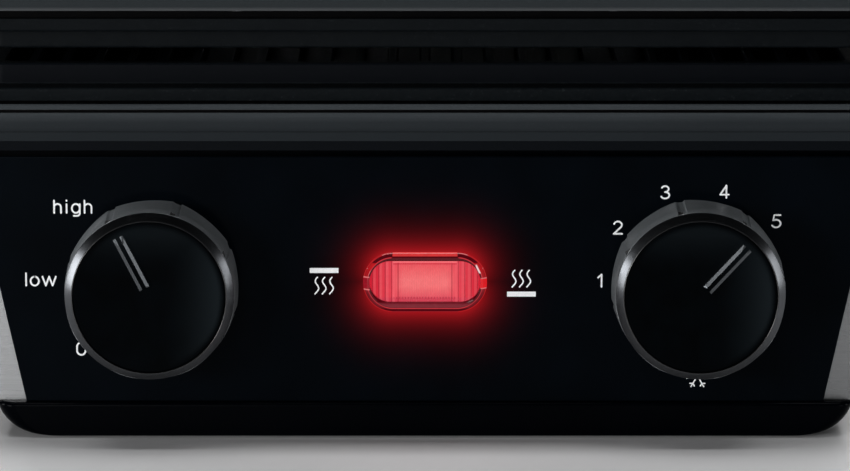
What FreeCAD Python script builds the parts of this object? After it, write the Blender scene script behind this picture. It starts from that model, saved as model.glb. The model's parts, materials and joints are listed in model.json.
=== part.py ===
import FreeCAD, Part
import math
import os

V = FreeCAD.Vector

# Sandwich grill. Millimetres, +Z up, x to the right as seen from the front.
# While the pieces are made, y = 0 is the front of the plinth and y grows to the rear.

# Plan of the base and of the lid
RIM_HALF_W = 157.0
BASE_DEPTH = 296.0
LID_DEPTH = 244.0
RIM_CORNER_R = 6.0

# Side silhouette of the base, seen from the front
SIDE_SLOPE_DEG = 12.3
FOOT_CORNER_R = 14.0
FOOT_SIDE_IN = 32.5
FOOT_PLAN_R = 6.0
FOOT_EDGE_R = 1.2
PLINTH_LAYERS = 9
CHEEK_W = 9.85

# Heights of the base, one on the other
FOOT_GAP = 0.8
PLINTH_H = 10.8
PANEL_H = 79.9
SHADOW_GAP = 2.0
RIM_STEP_H = 3.2
RIM_LIP_H = 2.8
RIM_CREASE_H = 0.4
RIM_FACE_H = 5.8
RIM_GROOVE_H = 1.0
RIM_BEAD_H = 1.7

# Insets of the rim's bands from its outermost face
RIM_STEP_IN = 1.2
RIM_CREASE_IN = 0.35
RIM_LEAN = 0.5
RIM_GROOVE_IN = 1.6
RIM_BEAD_IN = 0.8
RIM_BEAD_W = 3.4
RIM_SKIRT_T = 3.0
RIM_WEB_T = 3.0
CHANNEL_DEPTH = 4.2
DECK_DROP = 1.8
LEDGE_W = 8.0
LEDGE_DROP = 0.5
LEDGE_SIDE_IN = 1.0
LEDGE_END_IN = 2.0
BEAD_R = 0.9
WELL_R = 4.0

# Depths of the front, from the front of the plinth
PANEL_Y = 2.0
PANEL_T = 5.0
PANEL_EDGE_R = 0.5
CHEEK_Y = 4.6
SHEET_T = 0.8
FOLD_R = 1.2
WALL = 2.5
FLOOR_T = 2.5
FIT = 0.15

# Grill plates
FLANGE_SIDE_IN = 8.0
FLANGE_FRONT_IN = 12.0
FLANGE_T = 4.2
FLANGE_W = 10.0
FLANGE_SIDE_W = 8.0
FLANGE_R = 7.0
BODY_R = 5.0
PLATE_EDGE_R = 0.9
PLATE_RAISE = 6.6
PLATE_GAP = 4.9
PLATE_WALL = 5.0
RECESS_DEPTH = 5.4
RECESS_R = 3.0
PLATE_UNDER = 1.6
PLATE_FLOOR_T = 4.6
PLATE_POCKET_IN = 8.0
POCKET_REAR_GAP = 1.0
RIB_W = 3.6
RIB_CREST_W = 2.4
RIB_PITCH = 10.6
RIB_DROP = 0.8
GUTTER_W = 12.0
DRAIN_R = 5.0
PLATE_CLEAR = 0.6

# Heating elements, reflectors and fuses
HEATER_R = 3.2
HEATER_GAP = 0.1
HEATER_BEND_GAP = 3.0
HEATER_SIDE_IN = 45.0
HEATER_RUNS = 6
HEATER_FRONT_IN = 18.0
HEATER_REAR_IN = 30.0
TERMINAL_R = 2.0
TERMINAL_L = 9.0
REFLECTOR_T = 0.8
REFLECTOR_H = 9.5
REFLECTOR_SIDE_OUT = 24.0
REFLECTOR_FRONT_IN = 21.0
SADDLE_W = 8.0
SADDLE_L = 5.0
SADDLE_END_IN = 40.0
FUSE_SIZE = 10.0
FUSE_T = 4.6

# Knobs, switch and thermostat
KNOB_SIDE_IN = 69.8
KNOB_Z = 50.0
KNOB_L = 23.0
KNOB_GAP = 0.8
KNOB_R = 27.4
KNOB_CORNER_R = 28.0
KNOB_FRONT_R = 26.8
FACET_MID_R = 26.9
FACET_CORNER_R = 27.3
KNOB_CHAMFER = 2.3
KNOB_FACETS = 8
KNOB_WALL = 2.4
KNOB_WEB = 2.0
KNOB_HUB_R = 6.0
KNOB_NOTCH = 0.55
DISC_T = 2.0
DISC_SUNK = 0.5
DISC_FIT = 0.12
DISC_RIM_W = 0.2
DISC_DISH = 0.6
POINTER_W = 3.4
POINTER_TOP_W = 1.4
POINTER_H = 0.5
POINTER_ROOT = 0.3
POINTER_START = 3.0
POINTER_END = 21.5
MODE_ANGLE = -27.0
HEAT_ANGLE = 42.6
MODE_CORNER_ANGLE = -27.8
HEAT_CORNER_ANGLE = 32.5
SHAFT_R = 3.0
SHAFT_FIT = 0.06
SHAFT_FLAT = 1.2
SHAFT_END_GAP = 0.5
SHAFT_IN_SHARE = 0.6
BUSH_R = 5.0
BUSH_SUNK = 0.6
SWITCH_W = 30.0
SWITCH_L = 21.0
SWITCH_CHAMFER = 2.0
THERMOSTAT_W = 33.0
THERMOSTAT_L = 26.0
PROBE_R = 2.4
PROBE_L = 36.0
CAPILLARY_R = 0.7
CAPILLARY_BEND = 6.0
CAPILLARY_HOLE_R = 2.8
CAPILLARY_LEAD = 10.0

# Lamp
LAMP_Z = 50.6
LENS_R = 9.6
LENS_HALF_STRAIGHT = 10.25
LENS_PROUD = 2.6
LENS_CHAMFER = 1.3
LENS_INNER_HALF_STRAIGHT = 11.2
LENS_INNER_R = 6.7
DIFFUSER_FIT = 0.1
NECK_T = 1.4
NECK_L = 9.0
DIFFUSER_SUNK = 1.4
DIFFUSER_T = 3.0
LAMP_BOX_L = 20.0
LAMP_BOX_T = 1.5
GLOW_LAMP_R = 2.6
GLOW_LAMP_L = 11.0
GLOW_LAMP_X = 8.2
GLOW_TIP_R = 2.0

# Inner supports of the pan, feet and screws
POST_R = 5.0
POST_SIDE_IN = 12.5
POST_FRONT_IN = 17.5
POST_REAR_IN = 15.0
REFLECTOR_POST_R = 4.0
REFLECTOR_POST_IN = 11.0
FOOT_R = 9.0
FOOT_H = 2.0
FOOT_IN = 32.0
SCREW_R = 1.8
SCREW_HEAD_R = 3.4
SCREW_HEAD_H = 1.6
SCREW_L = 14.0
SCREW_SLOT_W = 0.8
SCREW_FIT = 0.02
SCREW_SLOT_H = 0.6

# Drip tray, drain and rear cover
TRAY_HALF_W = 62.0
TRAY_L = 104.0
TRAY_H = 25.0
TRAY_WALL = 1.8
TRAY_LIP_T = 3.0
TRAY_LIP_OVER = 4.0
TRAY_PULL = 5.5
TRAY_GAP = 0.3
TRAY_TRAVEL = 100.0
RAIL_T = 2.5
RAIL_SHELF_W = 8.0
RAIL_SIDE_H = 15.0
TRAY_CORNER_R = 4.0
TRAY_LIP_R = 1.2
PULL_W = 41.0
PULL_T = 3.0
PULL_DROP = 8.0
REAR_COVER_T = 3.0
REAR_COVER_SEAT_W = 5.0
VENT_COUNT = 9
VENT_L = 24.0
VENT_W = 3.0
FLOOR_VENT_PITCH = 7.8
FLOOR_VENT_Y = 60.0
REAR_VENT_PITCH = 12.0
REAR_VENT_DROP = 12.0
GLAND_SIDE_IN = 53.0
GLAND_Z = 27.0
GLAND_R = 7.0
GLAND_FLANGE_R = 10.0
GLAND_FLANGE_T = 2.0
GLAND_TIP_R = 5.0
GLAND_OUT = 9.0
CORD_HOLE_R = 3.8
SPOUT_WALL = 1.6
SPOUT_FUNNEL_R = 9.0
SPOUT_FUNNEL_T = 2.0
SPOUT_OVER_TRAY = 6.0

# Terminal block and wires
BLOCK_SIDE_OUT = 8.0
BLOCK_Y = 222.0
BLOCK_L = 18.0
BLOCK_H = 15.0
BLOCK_PITCH = 12.7
BLOCK_POLES = 3
BLOCK_SLIT_W = 1.0
BLOCK_SLIT_H = 7.0
CLAMP_R = 3.2
WIRE_R = 1.1
WIRE_BEND = 5.0
WIRE_FLOOR_GAP = 8.0
WIRE_LANE_GAP = 4.0
WIRE_BACK = 58.0
WIRE_REAR_Y = 263.0
WIRE_LONG_Z = 24.0
WIRE_SIDE_IN = 7.2
LAMP_WIRE_X = 4.0

# Hinge
HINGE_BACK = 34.0
HINGE_TRAVEL = 20.0
HINGE_R = 4.0
HINGE_FIT = 0.06
ARM_GAP = 4.0
ARM_T = 12.0
ARM_BOSS_R = 9.5
WASHER_R = 7.0
WASHER_GAP = 0.2
TOWER_SIDE_IN = 59.0
TOWER_W = 20.0
TOWER_R = 13.0
TOWER_EDGE_R = 2.0
TOWER_OVER = 9.0
SLOT_W = 12.0
SLOT_DEPTH = 15.0
BLOCK_GAP = 0.2
SLOT_END_GAP = 0.3
BLOCK_IN = 1.0
SHAFT_END_IN = 0.6
ARM_ROOT_L = 12.0
ARM_ROOT_UP = 1.0

# Lid
LID_RIM_GAP = 4.0
LID_RIM_H = 13.7
COVER_H = 26.0
COVER_IN = 2.5
COVER_TAPER = 7.0
COVER_LOW_R = 4.5
COVER_TOP_R = 19.0
COVER_EDGE_R = 12.0
COVER_T = 1.2
COVER_PANEL_IN = 30.0
COVER_PANEL_H = 0.8
COVER_PANEL_R = 16.0
COVER_PANEL_EDGE_R = 0.5
COVER_POST_SIDE_IN = 97.0
COVER_POST_IN = 9.6
COVER_POST_R = 3.6
COVER_POST_L = 22.0
LID_WEB_UP = 0.8
LID_WEB_T = 2.4
LID_LOW_R = 0.5
SPACER_R = 4.0

# Handle
GRIP_Y = -31.0
GRIP_UP = 11.9
GRIP_D = 21.0
GRIP_H = 15.0
GRIP_SIDE_IN = 31.0
GRIP_END_R = 7.0
INLAY_H = 6.0
INLAY_T = 0.9
INLAY_END_IN = 17.5
INLAY_FIT = 0.05
BRACKET_END_IN = 26.0
BRACKET_W = 17.0
BRACKET_H = 11.0
BRACKET_SEAT = 3.0

# Release buttons of the plates
BUTTON_Y = 122.0
BUTTON_HALF_W = 13.0
BUTTON_H = 3.2
BUTTON_TRAVEL = 3.0
BUTTON_FIT = 0.2
BUTTON_SUNK = 0.3
BUTTON_L = 8.5
BUTTON_EDGE_R = 0.6
BUTTON_HOLE_L = 10.0
TONGUE_HALF_W = 8.0
TONGUE_T = 1.8
TONGUE_BAR = 4.0
LUG_SIDE_IN = 7.0
LUG_T = 3.0
LUG_HALF_W = 5.0
NOSE_L = 2.2
HOOK_GAP = 0.3
RELEASE_SPRING_R = 1.6
RELEASE_SPRING_L = 6.0
RELEASE_SPRING_WALL = 0.5
SPRING_RIB_T = 1.8

# Places across the width
FOOT_FLAT_HALF_W = RIM_HALF_W - FOOT_SIDE_IN
KNOB_X = RIM_HALF_W - KNOB_SIDE_IN
POST_X = FOOT_FLAT_HALF_W - POST_SIDE_IN
GLAND_X = RIM_HALF_W - GLAND_SIDE_IN
BLOCK_X = TRAY_HALF_W + BLOCK_SIDE_OUT
WIRE_SIDE_X = KNOB_X - WIRE_SIDE_IN
TOWER_X = RIM_HALF_W - TOWER_SIDE_IN
ARM_X = TOWER_X - ARM_GAP - ARM_T
COVER_POST_X = RIM_HALF_W - COVER_POST_SIDE_IN
GRIP_HALF_L = RIM_HALF_W - GRIP_SIDE_IN
BRACKET_X = GRIP_HALF_L - BRACKET_END_IN
PLATE_HALF_W = RIM_HALF_W - FLANGE_SIDE_IN
BODY_HALF_W = PLATE_HALF_W - FLANGE_SIDE_W
WELL_HALF_W = PLATE_HALF_W - LEDGE_SIDE_IN - LEDGE_W
LUG_X = WELL_HALF_W - LUG_SIDE_IN
HEATER_X = WELL_HALF_W - HEATER_SIDE_IN
HEATER_PITCH = 2 * HEATER_X / (HEATER_RUNS - 1)
HEATER_BEND_R = HEATER_PITCH / 2 - HEATER_BEND_GAP
REFLECTOR_HALF_W = HEATER_X + REFLECTOR_SIDE_OUT
REFLECTOR_POST_X = REFLECTOR_HALF_W - REFLECTOR_POST_IN

# Heights and depths
PLINTH_TOP = FOOT_GAP + PLINTH_H
PANEL_TOP = PLINTH_TOP + PANEL_H
RIM_BOTTOM = PANEL_TOP + SHADOW_GAP
STEP_TOP = RIM_BOTTOM + RIM_STEP_H
LIP_TOP = STEP_TOP + RIM_LIP_H
CREASE_TOP = LIP_TOP + RIM_CREASE_H
FACE_TOP = CREASE_TOP + RIM_FACE_H
GROOVE_TOP = FACE_TOP + RIM_GROOVE_H
RIM_TOP = GROOVE_TOP + RIM_BEAD_H
DECK_Z = RIM_TOP - DECK_DROP
CHANNEL_Z = RIM_TOP - CHANNEL_DEPTH
LEDGE_Z = RIM_TOP - LEDGE_DROP
WEB_BOTTOM = CHANNEL_Z - RIM_WEB_T
FLANGE_TOP = LEDGE_Z + FLANGE_T
PLATE_TOP = FLANGE_TOP + PLATE_RAISE
MID_Z = PLATE_TOP + PLATE_GAP / 2
PLATE_FLOOR = PLATE_TOP - RECESS_DEPTH
PLATE_BOTTOM = LEDGE_Z - PLATE_UNDER
POCKET_Z = PLATE_FLOOR - PLATE_FLOOR_T
HEATER_Z = POCKET_Z - HEATER_GAP - HEATER_R
REFLECTOR_TOP = HEATER_Z + HEATER_R / 2
REFLECTOR_Z = REFLECTOR_TOP - REFLECTOR_H
LID_RIM_BOTTOM = 2 * MID_Z - LEDGE_Z + LID_RIM_GAP
LID_RIM_TOP = LID_RIM_BOTTOM + LID_RIM_H
COVER_TOP = LID_RIM_TOP + COVER_H
GRIP_Z = LID_RIM_TOP + GRIP_UP
FLOOR_Z = FOOT_GAP + FLOOR_T
HINGE_Y = LID_DEPTH + HINGE_BACK
HINGE_Z = MID_Z
FRONT_WALL_Y = PANEL_Y + PANEL_T
INNER_FRONT_Y = FRONT_WALL_Y + WALL
REAR_FACE_Y = BASE_DEPTH - (CHEEK_Y - PANEL_Y)
PLATE_Y0 = FLANGE_FRONT_IN
PLATE_Y1 = LID_DEPTH - FLANGE_FRONT_IN
BODY_Y0 = PLATE_Y0 + FLANGE_W
BODY_Y1 = PLATE_Y1 - FLANGE_W
WELL_Y0 = PLATE_Y0 + LEDGE_END_IN + LEDGE_W
WELL_Y1 = PLATE_Y1 - LEDGE_END_IN - LEDGE_W
DRAIN_Y = BODY_Y1 - PLATE_WALL - GUTTER_W / 2
REFLECTOR_Y0 = WELL_Y0 + REFLECTOR_FRONT_IN
REFLECTOR_Y1 = DRAIN_Y - SPOUT_FUNNEL_R - 3.0
BUTTON_Z = STEP_TOP + RIM_LIP_H / 2
TRAY_Z = PLINTH_TOP + TRAY_GAP + RAIL_T / 2
TRAY_Y0 = BASE_DEPTH - TRAY_L
TOWER_TOP = HINGE_Z + HINGE_TRAVEL + TOWER_OVER
KNOB_REAR_Y = PANEL_Y - KNOB_GAP
KNOB_FRONT_Y = KNOB_REAR_Y - KNOB_L
KNOB_EDGE_Y = KNOB_FRONT_Y + KNOB_CHAMFER
DISC_SEAT_Y = KNOB_FRONT_Y + DISC_SUNK + DISC_T
DISC_SEAT_R = KNOB_FRONT_R - KNOB_CHAMFER - DISC_RIM_W
SHAFT_TIP_Y = DISC_SEAT_Y + KNOB_WEB
PIN_Y = WELL_Y0 + HEATER_FRONT_IN
LENS_FRONT_Y = PANEL_Y - LENS_PROUD
COVER_WEB_Z = LID_RIM_BOTTOM + LID_WEB_UP + LID_WEB_T
FRONT_END = GRIP_Y - GRIP_D / 2
REAR_END = BASE_DEPTH + max(GLAND_OUT, TRAY_GAP + TRAY_LIP_T + TRAY_PULL)
Y_SHIFT = -(FRONT_END + REAR_END) / 2

SLOPE = math.radians(SIDE_SLOPE_DEG)


def box(x0, x1, y0, y1, z0, z1):
    return Part.makeBox(x1 - x0, y1 - y0, z1 - z0, V(x0, y0, z0))


def cyl(x, y, z, r, length, axis):
    return Part.makeCylinder(r, length, V(x, y, z), V(*axis))


def polygon(points, direction):
    wire = Part.makePolygon(points + [points[0]])
    return Part.Face(wire).extrude(direction)


def rect_wire(half_w, y0, y1, r, z):
    """Rounded rectangle at height z, the same on both sides of x = 0."""
    k = r * (1 - math.sqrt(0.5))
    a = [(-half_w + r, y0), (half_w - r, y0), (half_w, y0 + r), (half_w, y1 - r)]
    b = [(half_w - r, y1), (-half_w + r, y1), (-half_w, y1 - r), (-half_w, y0 + r)]
    p = [V(x, y, z) for x, y in a + b]
    mids = [(half_w - k, y0 + k), (half_w - k, y1 - k), (-half_w + k, y1 - k), (-half_w + k, y0 + k)]
    m = [V(x, y, z) for x, y in mids]
    edges = []
    for i in range(4):
        edges.append(Part.LineSegment(p[2 * i], p[2 * i + 1]).toShape())
        edges.append(Part.Arc(p[2 * i + 1], m[i], p[(2 * i + 2) % 8]).toShape())
    return Part.Wire(edges)


def slab(half_w, y0, y1, r, z0, z1):
    return Part.Face(rect_wire(half_w, y0, y1, r, z0)).extrude(V(0, 0, z1 - z0))


def rim_slab(inset, depth, z0, z1):
    """A layer of a rim, inset evenly from the outermost outline."""
    r = max(RIM_CORNER_R - inset, 1.0)
    return slab(RIM_HALF_W - inset, inset, depth - inset, r, z0, z1)


def taper(inset0, inset1, depth, z0, z1):
    r0 = max(RIM_CORNER_R - inset0, 1.0)
    r1 = max(RIM_CORNER_R - inset1, 1.0)
    low = rect_wire(RIM_HALF_W - inset0, inset0, depth - inset0, r0, z0)
    high = rect_wire(RIM_HALF_W - inset1, inset1, depth - inset1, r1, z1)
    return Part.makeLoft([low, high], True, True)


def side_x(z):
    """Half width of the base's silhouette at height z, on its slanted side."""
    centre_z = FOOT_GAP + FOOT_CORNER_R
    return FOOT_FLAT_HALF_W + (z - centre_z) * math.tan(SLOPE) + FOOT_CORNER_R / math.cos(SLOPE)


def slanted(edge_in, y0, y1, z0, z1):
    """Block between the two slanted sides, each moved in by edge_in along x."""
    points = [
        V(-side_x(z0) + edge_in, y0, z0),
        V(side_x(z0) - edge_in, y0, z0),
        V(side_x(z1) - edge_in, y0, z1),
        V(-side_x(z1) + edge_in, y0, z1),
    ]
    return polygon(points, V(0, y1 - y0, 0))


def foot_half_w(z, inset):
    """Half width of the plinth's round lower corner at height z."""
    r = FOOT_CORNER_R - inset
    down = min(FOOT_GAP + FOOT_CORNER_R - z, r)
    return FOOT_FLAT_HALF_W + math.sqrt(r * r - down * down)


def plinth(inset, z0, z1):
    """Foot of the base: round lower corners seen from the front, round corners in plan."""
    wires = []
    for i in range(PLINTH_LAYERS + 1):
        z = z0 + (z1 - z0) * (i / PLINTH_LAYERS) ** 2
        half = foot_half_w(z, inset)
        wires.append(rect_wire(half, inset, BASE_DEPTH - inset, FOOT_PLAN_R - inset, z))
    return Part.makeLoft(wires, True, False)


def flat_edges(shape, z, test):
    """Edges that lie at height z and pass the test on their centre."""
    found = []
    for e in shape.Edges:
        b = e.BoundBox
        if abs(b.ZMin - z) < 1e-4 and abs(b.ZMax - z) < 1e-4 and test(b.Center):
            found.append(e)
    return found


def round_top(shape, z, r, test=lambda c: True):
    return shape.makeFillet(r, flat_edges(shape, z, test))


def stadium(x, z, half_straight, r, y0, y1):
    """Long-hole shape across x, from depth y0 to y1."""
    a = V(x - half_straight, y0, z + r)
    b = V(x + half_straight, y0, z + r)
    c = V(x + half_straight, y0, z - r)
    d = V(x - half_straight, y0, z - r)
    edges = [
        Part.LineSegment(a, b).toShape(),
        Part.Arc(b, V(x + half_straight + r, y0, z), c).toShape(),
        Part.LineSegment(c, d).toShape(),
        Part.Arc(d, V(x - half_straight - r, y0, z), a).toShape(),
    ]
    return Part.Face(Part.Wire(edges)).extrude(V(0, y1 - y0, 0))


def tube(points, r, bend):
    """Round bar along straight runs that are joined by tangent arcs."""
    pts = [V(*p) for p in points]
    edges = []
    start = pts[0]
    for i in range(1, len(pts) - 1):
        a = (pts[i - 1] - pts[i]).normalize()
        b = (pts[i + 1] - pts[i]).normalize()
        half = a.getAngle(b) / 2
        reach = bend / math.tan(half)
        p = pts[i] + a * reach
        q = pts[i] + b * reach
        inward = (a + b).normalize()
        m = pts[i] + inward * (bend / math.sin(half) - bend)
        if (p - start).Length > 1e-6:
            edges.append(Part.LineSegment(start, p).toShape())
        edges.append(Part.Arc(p, m, q).toShape())
        start = q
    edges.append(Part.LineSegment(start, pts[-1]).toShape())
    path = Part.Wire(edges)
    ring = Part.Wire(Part.makeCircle(r, pts[0], pts[1] - pts[0]))
    return path.makePipeShell([ring], True, False)


def mirror_x(shape):
    return shape.mirror(V(0, 0, 0), V(1, 0, 0))


def mirror_mid(shape):
    """The upper plate's side: everything turned over about the plates' middle."""
    return shape.mirror(V(0, 0, MID_Z), V(0, 0, 1))


def at_four(make):
    """The same solid at four corners: make(x, y) for both sides, front and rear."""
    return [make(x, y) for x, y in ((-1, 0), (1, 0), (-1, 1), (1, 1))]


# Base pan: plinth, walls, posts and rails

def post_y(rear):
    return BASE_DEPTH - POST_REAR_IN if rear else POST_FRONT_IN


def foot_y(rear):
    return BASE_DEPTH - FOOT_IN if rear else FOOT_IN


def reflector_post_y(rear):
    return REFLECTOR_Y1 - 2 * REFLECTOR_POST_R if rear else REFLECTOR_Y0 + 4 * REFLECTOR_POST_R


def make_base_pan():
    foot = plinth(0.0, FOOT_GAP, PLINTH_TOP)
    foot = round_top(foot, PLINTH_TOP, FOOT_EDGE_R)
    front = CHEEK_Y + SHEET_T
    rear = REAR_FACE_Y - SHEET_T
    walls = slanted(SHEET_T / math.cos(SLOPE), front, rear, PLINTH_TOP, RIM_BOTTOM)
    pan = foot.fuse(walls)
    wall_in = (SHEET_T + WALL) / math.cos(SLOPE)
    inner_rear = BASE_DEPTH - REAR_COVER_T - WALL
    pan = pan.cut(slanted(wall_in, INNER_FRONT_Y, inner_rear, PLINTH_TOP, RIM_BOTTOM + 1))
    low = plinth(WALL + SHEET_T, FLOOR_Z, PLINTH_TOP + 0.01)
    inside = box(-RIM_HALF_W, RIM_HALF_W, INNER_FRONT_Y, inner_rear, 0, RIM_TOP)
    pan = pan.cut(low.common(inside))
    # pockets for the front panel and the rear cover
    pan = pan.cut(slanted(CHEEK_W - FIT, 0, FRONT_WALL_Y, PLINTH_TOP, RIM_BOTTOM + 1))
    cover_y = BASE_DEPTH - REAR_COVER_T
    pan = pan.cut(slanted(CHEEK_W - FIT, cover_y, BASE_DEPTH + 1, PLINTH_TOP, RIM_BOTTOM + 1))
    seat_in = CHEEK_W + REAR_COVER_SEAT_W
    pan = pan.cut(slanted(seat_in, inner_rear - 1, cover_y + 1, PLINTH_TOP, RIM_BOTTOM + 1))
    # screw posts up to the rim, and lower ones under the reflector
    posts = at_four(lambda s, r: cyl(s * POST_X, post_y(r), FLOOR_Z, POST_R, WEB_BOTTOM - FLOOR_Z, (0, 0, 1)))
    low_h = REFLECTOR_Z - FLOOR_Z
    x, r = REFLECTOR_POST_X, REFLECTOR_POST_R
    posts += at_four(lambda s, k: cyl(s * x, reflector_post_y(k), FLOOR_Z, r, low_h, (0, 0, 1)))
    pan = pan.fuse(posts)
    # openings of the front wall, screw holes and foot pockets
    for s in (-1, 1):
        pan = pan.cut(cyl(s * KNOB_X, 0, KNOB_Z, BUSH_R + FIT, INNER_FRONT_Y + 1, (0, 1, 0)))
    neck_r = LENS_R - NECK_T
    pan = pan.cut(stadium(0, LAMP_Z, LENS_HALF_STRAIGHT, neck_r + FIT, 0, INNER_FRONT_Y + 1))
    for s, r in ((-1, 0), (1, 0), (-1, 1), (1, 1)):
        x, y = s * POST_X, post_y(r)
        pan = pan.cut(cyl(x, y, 0, SCREW_R, FOOT_GAP + SCREW_L + FIT, (0, 0, 1)))
        pan = pan.cut(cyl(x, y, 0, SCREW_HEAD_R + FIT, FOOT_GAP + SCREW_HEAD_H, (0, 0, 1)))
        pan = pan.cut(cyl(s * POST_X, foot_y(r), 0, FOOT_R, FOOT_H, (0, 0, 1)))
    # floor vents
    for i in range(VENT_COUNT):
        x = (i - (VENT_COUNT - 1) / 2) * FLOOR_VENT_PITCH
        y = FLOOR_VENT_Y
        pan = pan.cut(box(x - VENT_W / 2, x + VENT_W / 2, y, y + VENT_L, 0, FLOOR_Z + 1))
    return pan.removeSplitter()


def make_tray_rails():
    """Two rails on the floor that carry the drip tray and guide its sides."""
    x0 = TRAY_HALF_W - RAIL_SHELF_W
    x1 = TRAY_HALF_W + TRAY_GAP
    x2 = x1 + RAIL_T
    y0, y1 = TRAY_Y0 - TRAY_GAP, BASE_DEPTH - REAR_COVER_T - WALL
    shelf = box(x0, x2, y0, y1, FLOOR_Z, TRAY_Z - TRAY_GAP)
    guide = box(x1, x2, y0, y1, FLOOR_Z, TRAY_Z + RAIL_SIDE_H)
    rail = shelf.fuse(guide).removeSplitter()
    return Part.makeCompound([rail, mirror_x(rail)])


def make_rubber_feet():
    r = FOOT_R - FIT
    return Part.makeCompound(at_four(lambda s, k: cyl(s * POST_X, foot_y(k), 0, r, FOOT_H, (0, 0, 1))))


def screw(x, y, z, axis, length):
    """Slotted pan-head screw: head sits at the point, shank runs along the axis."""
    a = V(*axis)
    head = cyl(x, y, z, SCREW_HEAD_R, SCREW_HEAD_H, axis)
    shank = cyl(x, y, z, SCREW_R - SCREW_FIT, length, axis)
    along = V(2 * SCREW_HEAD_R, 0, 0)
    side = a.cross(V(1, 0, 0)) * SCREW_SLOT_W
    p = V(x - SCREW_HEAD_R, y, z) - side * 0.5
    slot = polygon([p, p + along, p + along + side, p + side], a * SCREW_SLOT_H)
    return head.fuse(shank).cut(slot).removeSplitter()


def make_base_screws():
    z = FOOT_GAP
    return Part.makeCompound(
        at_four(lambda s, r: screw(s * POST_X, post_y(r), z, (0, 0, 1), SCREW_L))
    )


def make_side_cover():
    """Right-hand sheet: side, front return (the cheek) and rear return."""
    z0 = PLINTH_TOP
    z1 = RIM_BOTTOM - FIT
    outer = slanted(0, CHEEK_Y, REAR_FACE_Y, z0, z1)
    half_height = (z1 - z0) / 2
    folds = [e for e in outer.Edges if abs(e.BoundBox.YLength) < 1e-6 and e.BoundBox.ZLength > half_height]
    outer = outer.makeFillet(FOLD_R, folds)
    inner = slanted(SHEET_T / math.cos(SLOPE), CHEEK_Y + SHEET_T, REAR_FACE_Y - SHEET_T, z0 - 1, z1 + 1)
    shell = outer.cut(inner)
    shell = shell.cut(slanted(CHEEK_W - FIT / 2, 0, BASE_DEPTH, z0 - 1, z1 + 1))
    return shell.common(box(0, RIM_HALF_W, 0, BASE_DEPTH, 0, RIM_TOP))


def make_front_panel():
    panel = slanted(CHEEK_W + FIT / 2, PANEL_Y, FRONT_WALL_Y, PLINTH_TOP, PANEL_TOP)
    front = [e for e in panel.Edges if abs(e.BoundBox.YMin - PANEL_Y) < 1e-6 and e.BoundBox.YLength < 1e-6]
    panel = panel.makeFillet(PANEL_EDGE_R, front)
    for s in (-1, 1):
        panel = panel.cut(cyl(s * KNOB_X, 0, KNOB_Z, BUSH_R + FIT, FRONT_WALL_Y + 1, (0, 1, 0)))
    neck_r = LENS_R - NECK_T
    return panel.cut(stadium(0, LAMP_Z, LENS_HALF_STRAIGHT, neck_r + FIT, 0, FRONT_WALL_Y + 1))


def make_rear_cover():
    y0 = BASE_DEPTH - REAR_COVER_T
    cover = slanted(CHEEK_W + FIT / 2, y0, BASE_DEPTH, PLINTH_TOP, RIM_BOTTOM - FIT)
    half = TRAY_HALF_W + TRAY_GAP
    cover = cover.cut(box(-half, half, y0 - 1, BASE_DEPTH + 1, 0, TRAY_Z + TRAY_H + TRAY_GAP))
    cover = cover.cut(cyl(GLAND_X, y0 - 1, GLAND_Z, GLAND_R + FIT, REAR_COVER_T + 2, (0, 1, 0)))
    top = PANEL_TOP - REAR_VENT_DROP
    for i in range(VENT_COUNT):
        x = (i - (VENT_COUNT - 1) / 2) * REAR_VENT_PITCH
        cover = cover.cut(box(x - VENT_W / 2, x + VENT_W / 2, y0 - 1, BASE_DEPTH + 1, top - VENT_L, top))
    return cover


def make_cord_gland():
    y0 = BASE_DEPTH - REAR_COVER_T - WALL
    bush = cyl(GLAND_X, y0, GLAND_Z, GLAND_R, BASE_DEPTH - y0, (0, 1, 0))
    flange = cyl(GLAND_X, BASE_DEPTH, GLAND_Z, GLAND_FLANGE_R, GLAND_FLANGE_T, (0, 1, 0))
    tail_y = BASE_DEPTH + GLAND_FLANGE_T
    tail_l = GLAND_OUT - GLAND_FLANGE_T
    tail = Part.makeCone(GLAND_R, GLAND_TIP_R, tail_l, V(GLAND_X, tail_y, GLAND_Z), V(0, 1, 0))
    gland = bush.fuse([flange, tail])
    gland = gland.cut(cyl(GLAND_X, y0 - 1, GLAND_Z, CORD_HOLE_R, BASE_DEPTH + GLAND_OUT - y0 + 2, (0, 1, 0)))
    return gland.removeSplitter()


# Rims

def well(z0, z1, clear=0.0):
    """The opening inside a rim, where the plate's body and the heater hang."""
    return slab(WELL_HALF_W - clear, WELL_Y0 + clear, WELL_Y1 - clear, WELL_R, z0, z1)


def ledge(z0, z1):
    """Ring under a plate's flange."""
    x, y0, y1 = PLATE_HALF_W - LEDGE_SIDE_IN, PLATE_Y0 + LEDGE_END_IN, PLATE_Y1 - LEDGE_END_IN
    ring = slab(x, y0, y1, WELL_R + LEDGE_END_IN, z0, z1)
    return ring.cut(well(z0 - 1, z1 + 1))


def button_box(half_w, h, x0, x1, z):
    return box(x0, x1, BUTTON_Y - half_w, BUTTON_Y + half_w, z - h / 2, z + h / 2)


def button_hole(z):
    x1 = RIM_HALF_W + 1
    return button_box(BUTTON_HALF_W + BUTTON_FIT, BUTTON_H + 2 * BUTTON_FIT, x1 - BUTTON_HOLE_L, x1, z)


def spring_rib(web_z):
    """Rib under the rim's web that the release button's spring stands on."""
    x1 = RIM_HALF_W - BUTTON_SUNK - BUTTON_L - RELEASE_SPRING_L
    y = BUTTON_Y - BUTTON_HALF_W
    low = BUTTON_Z - RELEASE_SPRING_R
    return box(x1 - SPRING_RIB_T, x1, y, y + 3 * RELEASE_SPRING_R, low, web_z)


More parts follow.
